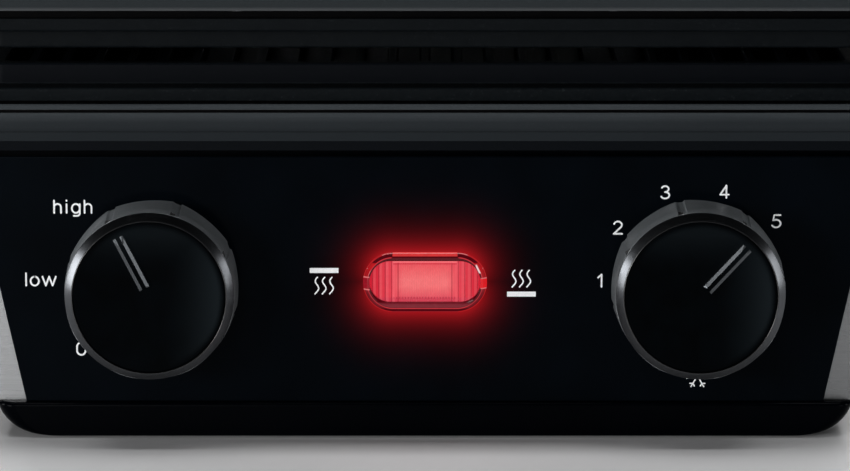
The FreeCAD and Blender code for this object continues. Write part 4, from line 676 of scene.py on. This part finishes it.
def skin(rings, cap_first=False, cap_last=False):
    """Vertices and faces of a skin over closed rings of equal length."""
    n = len(rings[0])
    verts = [p for ring in rings for p in ring]
    faces = []
    for i in range(len(rings) - 1):
        for j in range(n):
            k = (j + 1) % n
            faces.append((i * n + j, i * n + k, (i + 1) * n + k, (i + 1) * n + j))
    if cap_first:
        faces.append(tuple(range(n))[::-1])
    if cap_last:
        faces.append(tuple((len(rings) - 1) * n + j for j in range(n)))
    return verts, faces


# Knobs

def knob_angles():
    """Angles from a corner: fine steps in the notch, coarse ones over the facet."""
    fine = [FINE_STEP * i for i in range(-FINE_STEPS, FINE_STEPS + 1)]
    free = FACET_STEP - 2 * fine[-1]
    coarse = [fine[-1] + free * i / COARSE_STEPS for i in range(1, COARSE_STEPS)]
    return [k * FACET_STEP + a for k in range(FACETS) for a in fine + coarse]


def corner_offset(a):
    """Angle from the nearest corner."""
    return (a + FACET_STEP / 2) % FACET_STEP - FACET_STEP / 2


def in_pit(a):
    return abs(corner_offset(a) - PIT_OFF) < PIT_HALF


def knob_ring(x, y, mid_r, corner_r, notch, angle, pit):
    """Ring of crowned facets; each corner has a shallow channel, soft on its left, sharp on its right."""
    ring = []
    for a in knob_angles():
        off = corner_offset(a)
        r = mid_r + (corner_r - mid_r) * (1 - abs(off) / (FACET_STEP / 2)) ** 2
        u = off / NOTCH_HALF
        if abs(u) < 1:
            r -= notch * ((1 - u * u) ** 2 if u < 0 else 1 - u ** 6)
        if pit and in_pit(a):
            r -= PIT_DEPTH * math.sqrt(1 - ((off - PIT_OFF) / PIT_HALF) ** 2)
        turn = math.radians(angle + a)
        ring.append(at(x + r * math.sin(turn), y, KNOB_Z + r * math.cos(turn)))
    return ring


def shell_rows():
    """Rows of the shell from its rear to the ring: depth, radii mid-facet and at a corner, notch, pit."""
    soft = 0.3
    rows = [(KNOB_REAR_Y, KNOB_R - soft, KNOB_CORNER_R - soft, NOTCH, False)]
    rows.append((KNOB_REAR_Y - soft * 0.3, KNOB_R - soft * 0.3, KNOB_CORNER_R - soft * 0.3, NOTCH, False))
    steps = 6
    y0, y1 = KNOB_REAR_Y - soft, KNOB_EDGE_Y + PIT_REAR + 0.1
    for i in range(steps + 1):
        y = y0 + (y1 - y0) * i / steps
        s = (KNOB_REAR_Y - y) / (KNOB_REAR_Y - FACET_Y)
        mid = KNOB_R + (FACET_R - KNOB_R) * s
        corner = KNOB_CORNER_R + (FACET_CORNER_R - KNOB_CORNER_R) * s
        rows.append((y, mid, corner, NOTCH, False))
    front = KNOB_EDGE_Y + PIT_FRONT
    rows.append((KNOB_EDGE_Y + PIT_REAR, FACET_R, FACET_CORNER_R + 0.15, NOTCH, True))
    rows.append((FACET_Y, FACET_R, FACET_CORNER_R, NOTCH, True))
    rows.append((front, EDGE_R + 0.03, FACET_CORNER_R - 0.25, NOTCH * 0.5, True))
    rows.append((front - 0.1, EDGE_R + 0.02, EDGE_R + 0.2, 0, False))
    rows.append((front - 0.1, EDGE_R - 0.4, EDGE_R - 0.4, 0, False))
    return rows


def make_knob_skin(name, x, angle):
    """Faceted knob shell with a channel and a small pit at each corner; the pits carry a darker paint as
    painted shade.
    """
    rows = shell_rows()
    rings = [knob_ring(x, y, mid, corner, notch, angle, pit) for y, mid, corner, notch, pit in rows]
    verts, faces = skin(rings, cap_first=True)
    shell = new_piece(name + "_skin", verts, faces, name, "knob_shell", sharp=24)
    # Painted shade: the pit faces take this second, darker paint.
    shell.data.materials.append(paints["hinge_black"].material)
    n = len(rings[0])
    pit_rows = [i for i, row in enumerate(rows) if row[-1]]
    spots = [i for i, a in enumerate(knob_angles()) if in_pit(a)]
    for row in range(pit_rows[0] - 1, pit_rows[-1] + 1):
        for i in spots:
            shell.data.polygons[row * n + i].material_index = 1
    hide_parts(name + "_shell")


def make_knob_ring(name, x):
    """Polished ring from the shell's front edge over its chamfer to the disc's seat."""
    soft = 0.35
    rows = [(KNOB_EDGE_Y + 0.65, EDGE_R), (KNOB_EDGE_Y + soft, EDGE_R)]
    rows += [(KNOB_EDGE_Y + soft * 0.3, EDGE_R - 0.04), (KNOB_EDGE_Y - soft * 0.25, EDGE_R - 0.2)]
    rows += [(KNOB_FRONT_Y + soft * 0.6, LIP_R + soft * 0.6)]
    rows += [(KNOB_FRONT_Y + soft * 0.15, LIP_R + soft * 0.1), (KNOB_FRONT_Y, LIP_R - 0.1)]
    rows += [(KNOB_FRONT_Y + 0.05, SEAT_R), (KNOB_FRONT_Y + 1.4, SEAT_R)]
    turns = [2 * math.pi * i / RING_SIDES for i in range(RING_SIDES)]
    rings = [[at(x + r * math.sin(a), y, KNOB_Z + r * math.cos(a)) for a in turns] for y, r in rows]
    verts, faces = skin(rings)
    ring = new_piece(name + "_ring", verts, faces, name, "knob_shell", sharp=24)
    ring.data.materials[0] = ring_paint.material
    return ring


ring_paint = make_ring_paint()
pointer = Paint("pointer_silver", Metallic=1.0)
pointer.to("Base Color", pointer.mix(pointer.noise(0.8, 2), srgb(76, 79, 82), srgb(92, 95, 98)))
pointer.to("Roughness", pointer.span(pointer.noise(0.3, 2), 0.3, 0.7, 0.26, 0.34))


def disc_depth(u, v):
    """Depth of the disc's face behind its rim: a shallow dish, with the raised pointer along u."""
    r = math.hypot(u, v)
    dish = DISH * (1 - (r / DISC_R) ** 2)
    edge = max(0.0, r - DISC_R + 0.3)
    half, top = POINTER_W / 2, POINTER_TOP_W / 2
    side = (half - abs(v)) / (half - top)
    along = min((u - POINTER_START) / POINTER_ROOT_L, (POINTER_END - u) / POINTER_TIP_L)
    return dish + edge ** 2 * 2 - POINTER_H * max(0.0, min(side, along, 1.0))


def disc_lines():
    """Places of the disc's lines along the pointer, as distances from its middle line."""
    half, top = POINTER_W / 2, POINTER_TOP_W / 2
    bar = [0.0, top * 0.5, top, top + 0.05, (half + top) / 2, half - 0.05, half]
    outer = [half + (DISC_R - half) * math.sin(math.pi / 2 * i / DISC_LINES) for i in range(1, DISC_LINES)]
    right = bar + outer
    return [-v for v in right[:0:-1]] + right


def disc_spots():
    """Places of the points along each line, as they are on the middle line."""
    marks = [POINTER_START + 0.2 * i for i in range(5)]
    marks += [POINTER_END - POINTER_TIP_L * i / 8 for i in range(9)]
    steps = [DISC_R * math.sin(math.pi / 2 * i / DISC_STEPS) for i in range(1 - DISC_STEPS, DISC_STEPS)]
    return [-DISC_R] + sorted(set(round(u, 3) for u in marks + steps)) + [DISC_R]


def close_back(verts, faces, loop):
    """Wall from the closed loop of points straight back, and the disc's flat back."""
    base, m = len(verts), len(loop)
    for k in loop:
        verts.append(Vector((verts[k].x, (DISC_BACK_Y - BACK) * MM, verts[k].z)))
    for k in range(m):
        faces.append((loop[k], loop[(k + 1) % m], base + (k + 1) % m, base + k))
    faces.append(tuple(range(base + m - 1, base - 1, -1)))


def make_disc(name, x, angle):
    """Dished disc in the knob's front, with a bevelled pointer standing on it; the bevels are silver."""
    half, top = POINTER_W / 2, POINTER_TOP_W / 2
    lines, spots = disc_lines(), disc_spots()
    turn = math.radians(angle)
    front = KNOB_FRONT_Y + DISC_SUNK
    verts, faces, silver = [], [], []
    for v in lines:
        reach = math.sqrt(DISC_R ** 2 - v ** 2) / DISC_R
        for spot in spots:
            u = spot * reach
            across = u * math.sin(turn) + v * math.cos(turn)
            up = u * math.cos(turn) - v * math.sin(turn)
            verts.append(at(x + across, front + disc_depth(u, v), KNOB_Z + up))
    n = len(spots)
    for i in range(len(lines) - 1):
        v = (lines[i] + lines[i + 1]) / 2
        for j in range(n - 1):
            u = (spots[j] + spots[j + 1]) / 2
            faces.append((i * n + j, (i + 1) * n + j, (i + 1) * n + j + 1, i * n + j + 1))
            silver.append(top < abs(v) < half and POINTER_START < u < POINTER_END)
    loop = [i * n for i in range(len(lines))]
    loop += [(len(lines) - 1) * n + j for j in range(1, n)]
    loop += [i * n + n - 1 for i in range(len(lines) - 2, -1, -1)]
    loop += [j for j in range(n - 2, 0, -1)]
    close_back(verts, faces, loop)
    disc = new_piece(name + "_face", verts, faces, name, "knob_disc", sharp=28)
    disc.data.materials.append(pointer.material)
    for face, is_silver in zip(disc.data.polygons, silver):
        face.material_index = 1 if is_silver else 0
    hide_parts(name + "_disc")


knob_rings = []
for name, x, angle, corner in (("mode_knob", -KNOB_X, MODE_ANGLE, MODE_CORNER_ANGLE),
                               ("heat_knob", KNOB_X, HEAT_ANGLE, HEAT_CORNER_ANGLE)):
    make_knob_skin(name, x, corner)
    knob_rings.append(make_knob_ring(name, x))
    make_disc(name, x, angle)


# Lamp

def stadium(half, r, y, z=LAMP_Z):
    """Ring of two half circles of radius r, joined by straight runs 2 * half long."""
    ring = []
    for side in (1, -1):
        for i in range(END_SIDES + 1):
            a = math.pi * i / END_SIDES
            ring.append(at(side * (half + r * math.sin(a)), y, z + side * r * math.cos(a)))
    return ring


def make_lens():
    """Lens rim: a bevelled ring with a step and a rounded inner lip."""
    low = LENS_FRONT_Y + LENS_CHAMFER
    rows = [(0.0, PANEL_Y - 0.05), (0.0, low), (0.12, low - 0.12), (LENS_CHAMFER - 0.1, LENS_FRONT_Y + 0.1)]
    rows += [(LENS_CHAMFER + 0.1, LENS_FRONT_Y), (LENS_CHAMFER + 0.7, LENS_FRONT_Y)]
    rings = [stadium(LENS_HALF, LENS_R - inward, y) for inward, y in rows]
    inner_z = LAMP_Z + WINDOW_UP
    rings.append(stadium(WINDOW_HALF, WINDOW_R + 0.35, LENS_FRONT_Y + 0.1, z=inner_z))
    rings.append(stadium(WINDOW_HALF, WINDOW_R + 0.1, LENS_FRONT_Y + 0.4, z=inner_z))
    rings.append(stadium(WINDOW_HALF, WINDOW_R + 0.1, WINDOW_Y + 1.0, z=inner_z))
    verts, faces = skin(rings)
    lens = new_piece("lamp_rim", verts, faces, "base", "lens_clear", sharp=20)
    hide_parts("lamp_lens")


def make_window():
    """Ribbed window: fine upright ribs in the middle, wide bars towards the ends."""
    reach = WINDOW_HALF + WINDOW_R
    columns = []
    for i in range(WINDOW_COLUMNS + 1):
        x = -reach + 2 * reach * i / WINDOW_COLUMNS
        end = max(0.0, abs(x) - WINDOW_HALF)
        half = math.sqrt(max(0.0, WINDOW_R ** 2 - end ** 2))
        if abs(x) < RIB_ZONE:
            y = WINDOW_Y - RIB_H * abs(math.sin(math.pi * x / RIB_PITCH))
        else:
            phase = (abs(x) - RIB_ZONE) / BAR_PITCH % 1.0
            y = WINDOW_Y - 2 * RIB_H * min(1.0, 4 * min(phase, 1 - phase))
        ups = [half * (2 * j / WINDOW_ROWS - 1) for j in range(WINDOW_ROWS + 1)]
        columns.append([at(x, y, LAMP_Z + WINDOW_UP + up) for up in ups])
    verts = [p for column in columns for p in column]
    n = WINDOW_ROWS + 1
    faces = [(i * n + j, (i + 1) * n + j, (i + 1) * n + j + 1, i * n + j + 1)
             for i in range(WINDOW_COLUMNS) for j in range(WINDOW_ROWS)]
    window = new_piece("lamp_window", verts, faces, "base", "lens_red", sharp=40)
    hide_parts("lamp_diffuser")


make_lens()
make_window()


# Legend printed on the panel

ink = Paint("legend_ink", Roughness=0.45)
ink.to("Base Color", ink.mix(ink.span(ink.noise(0.5, 3), 0.3, 0.7), srgb(236, 238, 240), srgb(248, 249, 250)))
ink.to("Normal", ink.bump(ink.noise(0.15, 2), 0.004))


def arc(cx, cz, rx, rz, a0, a1, steps=18):
    """Points of an ellipse arc; angles in degrees from +x towards +z."""
    points = []
    for i in range(steps + 1):
        a = math.radians(a0 + (a1 - a0) * i / steps)
        points.append((cx + rx * math.cos(a), cz + rz * math.sin(a)))
    return points


def ribbon(points, width, y, rounded):
    """Flat stroke with round or square ends along a line on the panel; vertices and faces."""
    half = width / 2
    flat = [Vector(p) for p in points]
    left, right = [], []
    for i, p in enumerate(flat):
        a = flat[max(i - 1, 0)]
        b = flat[min(i + 1, len(flat) - 1)]
        d = (b - a).normalized()
        n = Vector((-d.y, d.x)) * half
        left.append(p + n)
        right.append(p - n)
    start = (flat[1] - flat[0]).normalized()
    end = (flat[-1] - flat[-2]).normalized()
    verts = [at(p.x, y, p.y) for p in right + left]
    n = len(flat)
    faces = [(i, i + 1, n + i + 1, n + i) for i in range(n - 1)]
    if not rounded:
        return verts, faces
    for centre, way, a, b in ((flat[-1], end, n - 1, 2 * n - 1), (flat[0], -start, n, 0)):
        cap = round_end(centre, way, half)
        base = len(verts)
        verts += [at(p.x, y, p.y) for p in cap]
        faces.append((a, *range(base, base + len(cap)), b))
    return verts, faces


def round_end(centre, way, half):
    """Points of the half circle that ends a stroke."""
    side = Vector((way.y, -way.x))
    points = []
    for i in range(1, 8):
        a = math.pi * i / 8
        points.append(centre + (side * math.cos(a) + way * math.sin(a)) * half)
    return points


def print_strokes(name, strokes, width=INK_W, rounded=True):
    """One printed sign on the panel from its strokes."""
    verts, faces = [], []
    for i, stroke in enumerate(strokes):
        v, f = ribbon(stroke, width, PANEL_Y - INK_T - LAYER_T * i, rounded)
        faces += [tuple(k + len(verts) for k in face) for face in f]
        verts += v
    obj = new_piece(name, verts, faces, "base", None, smooth=False)
    obj.data.materials.append(ink.material)


def digit(which):
    """Strokes of a digit, DIGIT_W wide and DIGIT_H high between its line centres, from its lower left."""
    w, h = DIGIT_W, DIGIT_H
    if which == 0:
        r = w / 2
        ring = arc(r, h - r, r, r, 90, 180) + arc(r, r, r, r, 180, 360) + arc(r, h - r, r, r, 0, 90)
        return [ring]
    if which == 1:
        return [[(0, h * 0.74), (w * 0.42, h)], [(w * 0.42, h), (w * 0.42, 0)]]
    if which == 2:
        top = arc(w / 2, h * 0.72, w * 0.46, h * 0.28, 165, -35)
        return [top + [(w * 0.02, 0)], [(w * 0.02, 0), (w, 0)]]
    if which == 3:
        upper = arc(w * 0.45, h * 0.76, w * 0.42, h * 0.24, 155, -90)
        lower = arc(w * 0.45, h * 0.26, w * 0.5, h * 0.26, 90, -155)
        return [upper, lower]
    if which == 4:
        left, top, foot = (0, h * 0.26), (w * 0.72, h), (w * 0.72, 0)
        return [[(w, h * 0.26), left], [left, top], [top, foot]]
    bowl = arc(w * 0.42, h * 0.31, w * 0.53, h * 0.31, 125, -150)
    return [[(w * 0.92, h), (w * 0.2, h), (w * 0.08, h * 0.53)] + bowl]


def place(strokes, x, z):
    return [[(x + p[0], z + p[1]) for p in stroke] for stroke in strokes]


def letter(which):
    """Strokes of a small letter and the advance to the next one's origin."""
    r = X_H / 2
    if which == "h":
        arch = arc(1.1, X_H - 1.1, 1.1, 1.1, 180, 0)
        return [[(0, 0), (0, ASC_H)], arch + [(2.2, 0)]], 4.0
    if which == "i":
        return [[(0, 0), (0, X_H - 0.1)], [(0, ASC_H - 0.08), (0, ASC_H + 0.02)]], 1.7
    if which == "g":
        bowl = arc(1.25, r, 1.25, r, 0, 360, 32)
        tail = [(2.5, X_H - 0.05), (2.5, 0)] + arc(1.6, -0.1, 0.9, 0.85, 0, -90) + [(0.55, -0.95)]
        return [bowl, tail], 4.05
    if which == "l":
        return [[(0, 0), (0, ASC_H)]], 1.45
    if which == "o":
        return [arc(1.32, r, 1.32, r, 90, 450, 36)], 3.8
    w = [(0, X_H), (1.06, 0), (2.14, X_H), (3.22, 0), (4.28, X_H)]
    return [[w[i], w[i + 1]] for i in range(4)], 5.0


def write(text, px, py):
    """One word of the legend."""
    x, z = on_panel(px, py)
    strokes = []
    for c in text:
        shape, step = letter(c)
        strokes += place(shape, x, z)
        x += step
    print_strokes("legend_" + text, strokes)


def heat_sign(name, left, top, bar_on_top):
    """Grill sign: a bar with three rising waves under or over it; its sizes are pixels of the photograph."""
    bar_w, bar_h, bar_down = 28.8, 5.0, 23.8
    wave_h, wave_in, wave_pitch, wave_down = 16.6, 7.1, 7.3, 9.4
    sway, lean, steps = 2.0, 1.4, 24
    waves_y = top + wave_down if bar_on_top else top
    bar_y = top + bar_h / 2 if bar_on_top else top + bar_down
    strokes = []
    for k in range(3):
        wave = []
        for i in range(steps + 1):
            t = i / steps
            off = lean * (0.5 - t) - sway * math.sin(2 * math.pi * (t * 1.08 + 0.02))
            wave.append(on_panel(left + wave_in + wave_pitch * k + off, waves_y + wave_h * t))
        strokes.append(wave)
    print_strokes(name, strokes, width=WAVE_W)
    bar = [on_panel(left, bar_y), on_panel(left + bar_w, bar_y)]
    print_strokes(name + "_bar", [bar], width=bar_h / PX_PER_MM_Z, rounded=False)


def frost_sign(px, py):
    """Six-armed snow star under the heat knob, which hides its upper half."""
    centre = Vector(on_panel(px, py))
    arm, branch, twig = 4.1, 2.9, 0.95
    strokes = []
    for k in range(6):
        a = math.radians(60 * k)
        way = Vector((math.cos(a), math.sin(a)))
        strokes.append([centre, centre + way * arm])
        node = centre + way * branch
        for b in (a - math.radians(60), a + math.radians(60)):
            strokes.append([node, node + Vector((math.cos(b), math.sin(b))) * twig])
    print_strokes("frost_sign", strokes, width=FROST_W)


for number, spot in DIGIT_SPOTS.items():
    print_strokes(f"legend_{number}", place(digit(number), *on_panel(*spot)))
for word, spot in WORD_SPOTS.items():
    write(word, *spot)
heat_sign("upper_heat_sign", *UPPER_SIGN_SPOT, True)
heat_sign("lower_heat_sign", *LOWER_SIGN_SPOT, False)
frost_sign(*FROST_SPOT)


# Release springs

def make_spring(name, body):
    """Coil of round wire on the sleeve's axis."""
    low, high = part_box(name)
    middle = (low + high) / 2
    wire = SPRING_WIRE * MM
    reach = high.z - middle.z - wire
    length = high.x - low.x - 2 * wire
    rings = []
    for i in range(SPRING_TURNS * SPRING_STEPS + 1):
        share = i / (SPRING_TURNS * SPRING_STEPS)
        turn = 2 * math.pi * i / SPRING_STEPS
        out = Vector((0, math.cos(turn), math.sin(turn)))
        centre = Vector((low.x + wire + length * share, middle.y, middle.z)) + out * reach
        ring = []
        for k in range(SPRING_SIDES):
            a = 2 * math.pi * k / SPRING_SIDES
            ring.append(centre + out * (wire * math.cos(a)) + Vector((wire * math.sin(a), 0, 0)))
        rings.append(ring)
    verts, faces = skin(rings, cap_first=True, cap_last=True)
    coil = new_piece(name + "_coil", verts, faces, body, "spring_steel")
    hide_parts(name)
    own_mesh(coil)


make_spring("lower_release_spring", "base")
make_spring("upper_release_spring", "lid")


# Floor, lights and camera

def make_floor():
    """Pale, faintly mottled table."""
    p = Paint("floor", Roughness=0.34)
    p.shader.inputs["Specular IOR Level"].default_value = 0.12
    cloud = p.noise(220, 3)
    p.to("Base Color", p.mix(p.span(cloud, 0.3, 0.7), srgb(222, 222, 223), srgb(228, 228, 229)))
    p.to("Normal", p.bump(p.noise(1.5, 2), 0.004))
    mesh = bpy.data.meshes.new("floor")
    r = FLOOR_HALF * MM
    mesh.from_pydata([(-r, -r, 0), (r, -r, 0), (r, r, 0), (-r, r, 0)], [], [(0, 1, 2, 3)])
    mesh.materials.append(p.material)
    floor = bpy.data.objects.new("floor", mesh)
    bpy.context.scene.collection.objects.link(floor)
    return floor


def area_light(name, spot, aim, size, power):
    """Soft lamp at spot that faces aim, in metres, with its width, height and watts."""
    lamp = bpy.data.lights.new(name, "AREA")
    lamp.shape = "RECTANGLE"
    lamp.size, lamp.size_y = size
    lamp.energy = power
    obj = bpy.data.objects.new(name, lamp)
    obj.visible_camera = False
    obj.location = spot
    way = Vector(aim) - Vector(spot)
    obj.rotation_euler = way.to_track_quat("-Z", "Y").to_euler()
    bpy.context.scene.collection.objects.link(obj)
    return obj


def make_world():
    """Dim cool surroundings for the reflections, and a pale backdrop for the camera."""
    world = bpy.data.worlds.new("studio")
    bpy.context.scene.world = world
    world.use_nodes = True
    tree = world.node_tree
    dim = tree.nodes["Background"]
    dim.inputs["Color"].default_value = (0.9, 0.95, 1.0, 1)
    dim.inputs["Strength"].default_value = 0.025
    pale = tree.nodes.new("ShaderNodeBackground")
    pale.inputs["Color"].default_value = srgb(222, 223, 224)
    mix = tree.nodes.new("ShaderNodeMixShader")
    rays = tree.nodes.new("ShaderNodeLightPath")
    tree.links.new(rays.outputs["Is Camera Ray"], mix.inputs[0])
    tree.links.new(dim.outputs[0], mix.inputs[1])
    tree.links.new(pale.outputs[0], mix.inputs[2])
    tree.links.new(mix.outputs[0], tree.nodes["World Output"].inputs[0])


def make_camera():
    """Long lens, a little above the object, aimed at the front panel."""
    tilt = math.radians(CAMERA_ELEVATION)
    camera = bpy.data.cameras.new("camera")
    camera.lens = CAMERA_LENS
    camera.sensor_width = 36
    camera.clip_start = 0.05
    obj = bpy.data.objects.new("camera", camera)
    out = Vector((0, -math.cos(tilt), math.sin(tilt))) * CAMERA_DISTANCE * MM
    obj.location = at(0, PANEL_Y, TARGET_Z) + out
    obj.rotation_euler = (math.radians(90) - tilt, 0, 0)
    bpy.context.scene.collection.objects.link(obj)
    bpy.context.scene.camera = obj


def spare(name, lamps, pieces):
    """The lamps leave out the pieces on which they would glare."""
    spared = bpy.data.collections.new(name)
    for lamp in lamps:
        lamp.light_linking.receiver_collection = spared
    for piece in pieces:
        spared.objects.link(piece)
    for member in spared.collection_objects:
        member.light_linking.link_state = "EXCLUDE"


floor = make_floor()
make_world()
make_camera()
side_lights = [
    area_light("left", (-1.4, -0.16, 0.27), (0.0, -0.16, 0.14), (0.4, 0.54), 9.0),
    area_light("right", (1.5, -0.16, 0.3), (0.0, -0.16, 0.14), (0.4, 0.6), 4.0),
]
top_lights = [
    area_light("top_front", (0.0, -0.38, 1.5), (0, -0.38, 0), (1.4, 0.18), 8),
    area_light("top_back", (0.0, 0.3, 1.5), (0, 0.3, 0), (1.4, 0.76), 18),
]
area_light("front_left", (-1.6, -1.8, 0.36), (0, 0, 0.08), (1.1, 0.5), 28)
area_light("front_right", (1.7, -1.7, 0.3), (0, 0, 0.08), (1.1, 0.5), 6)
area_light("cheek", (-0.42, -2.3, 0.6), (-0.15, 0, 0.07), (0.4, 0.9), 6.5)
area_light("back", (0.7, 2.1, 0.9), (0, 0, 0.08), (1.2, 0.8), 6)
spare("spared_by_top", top_lights, knob_rings)
spare("spared_by_sides", side_lights, [floor, nodes["lid_cover"]])

bpy.context.scene.view_settings.view_transform = "Standard"
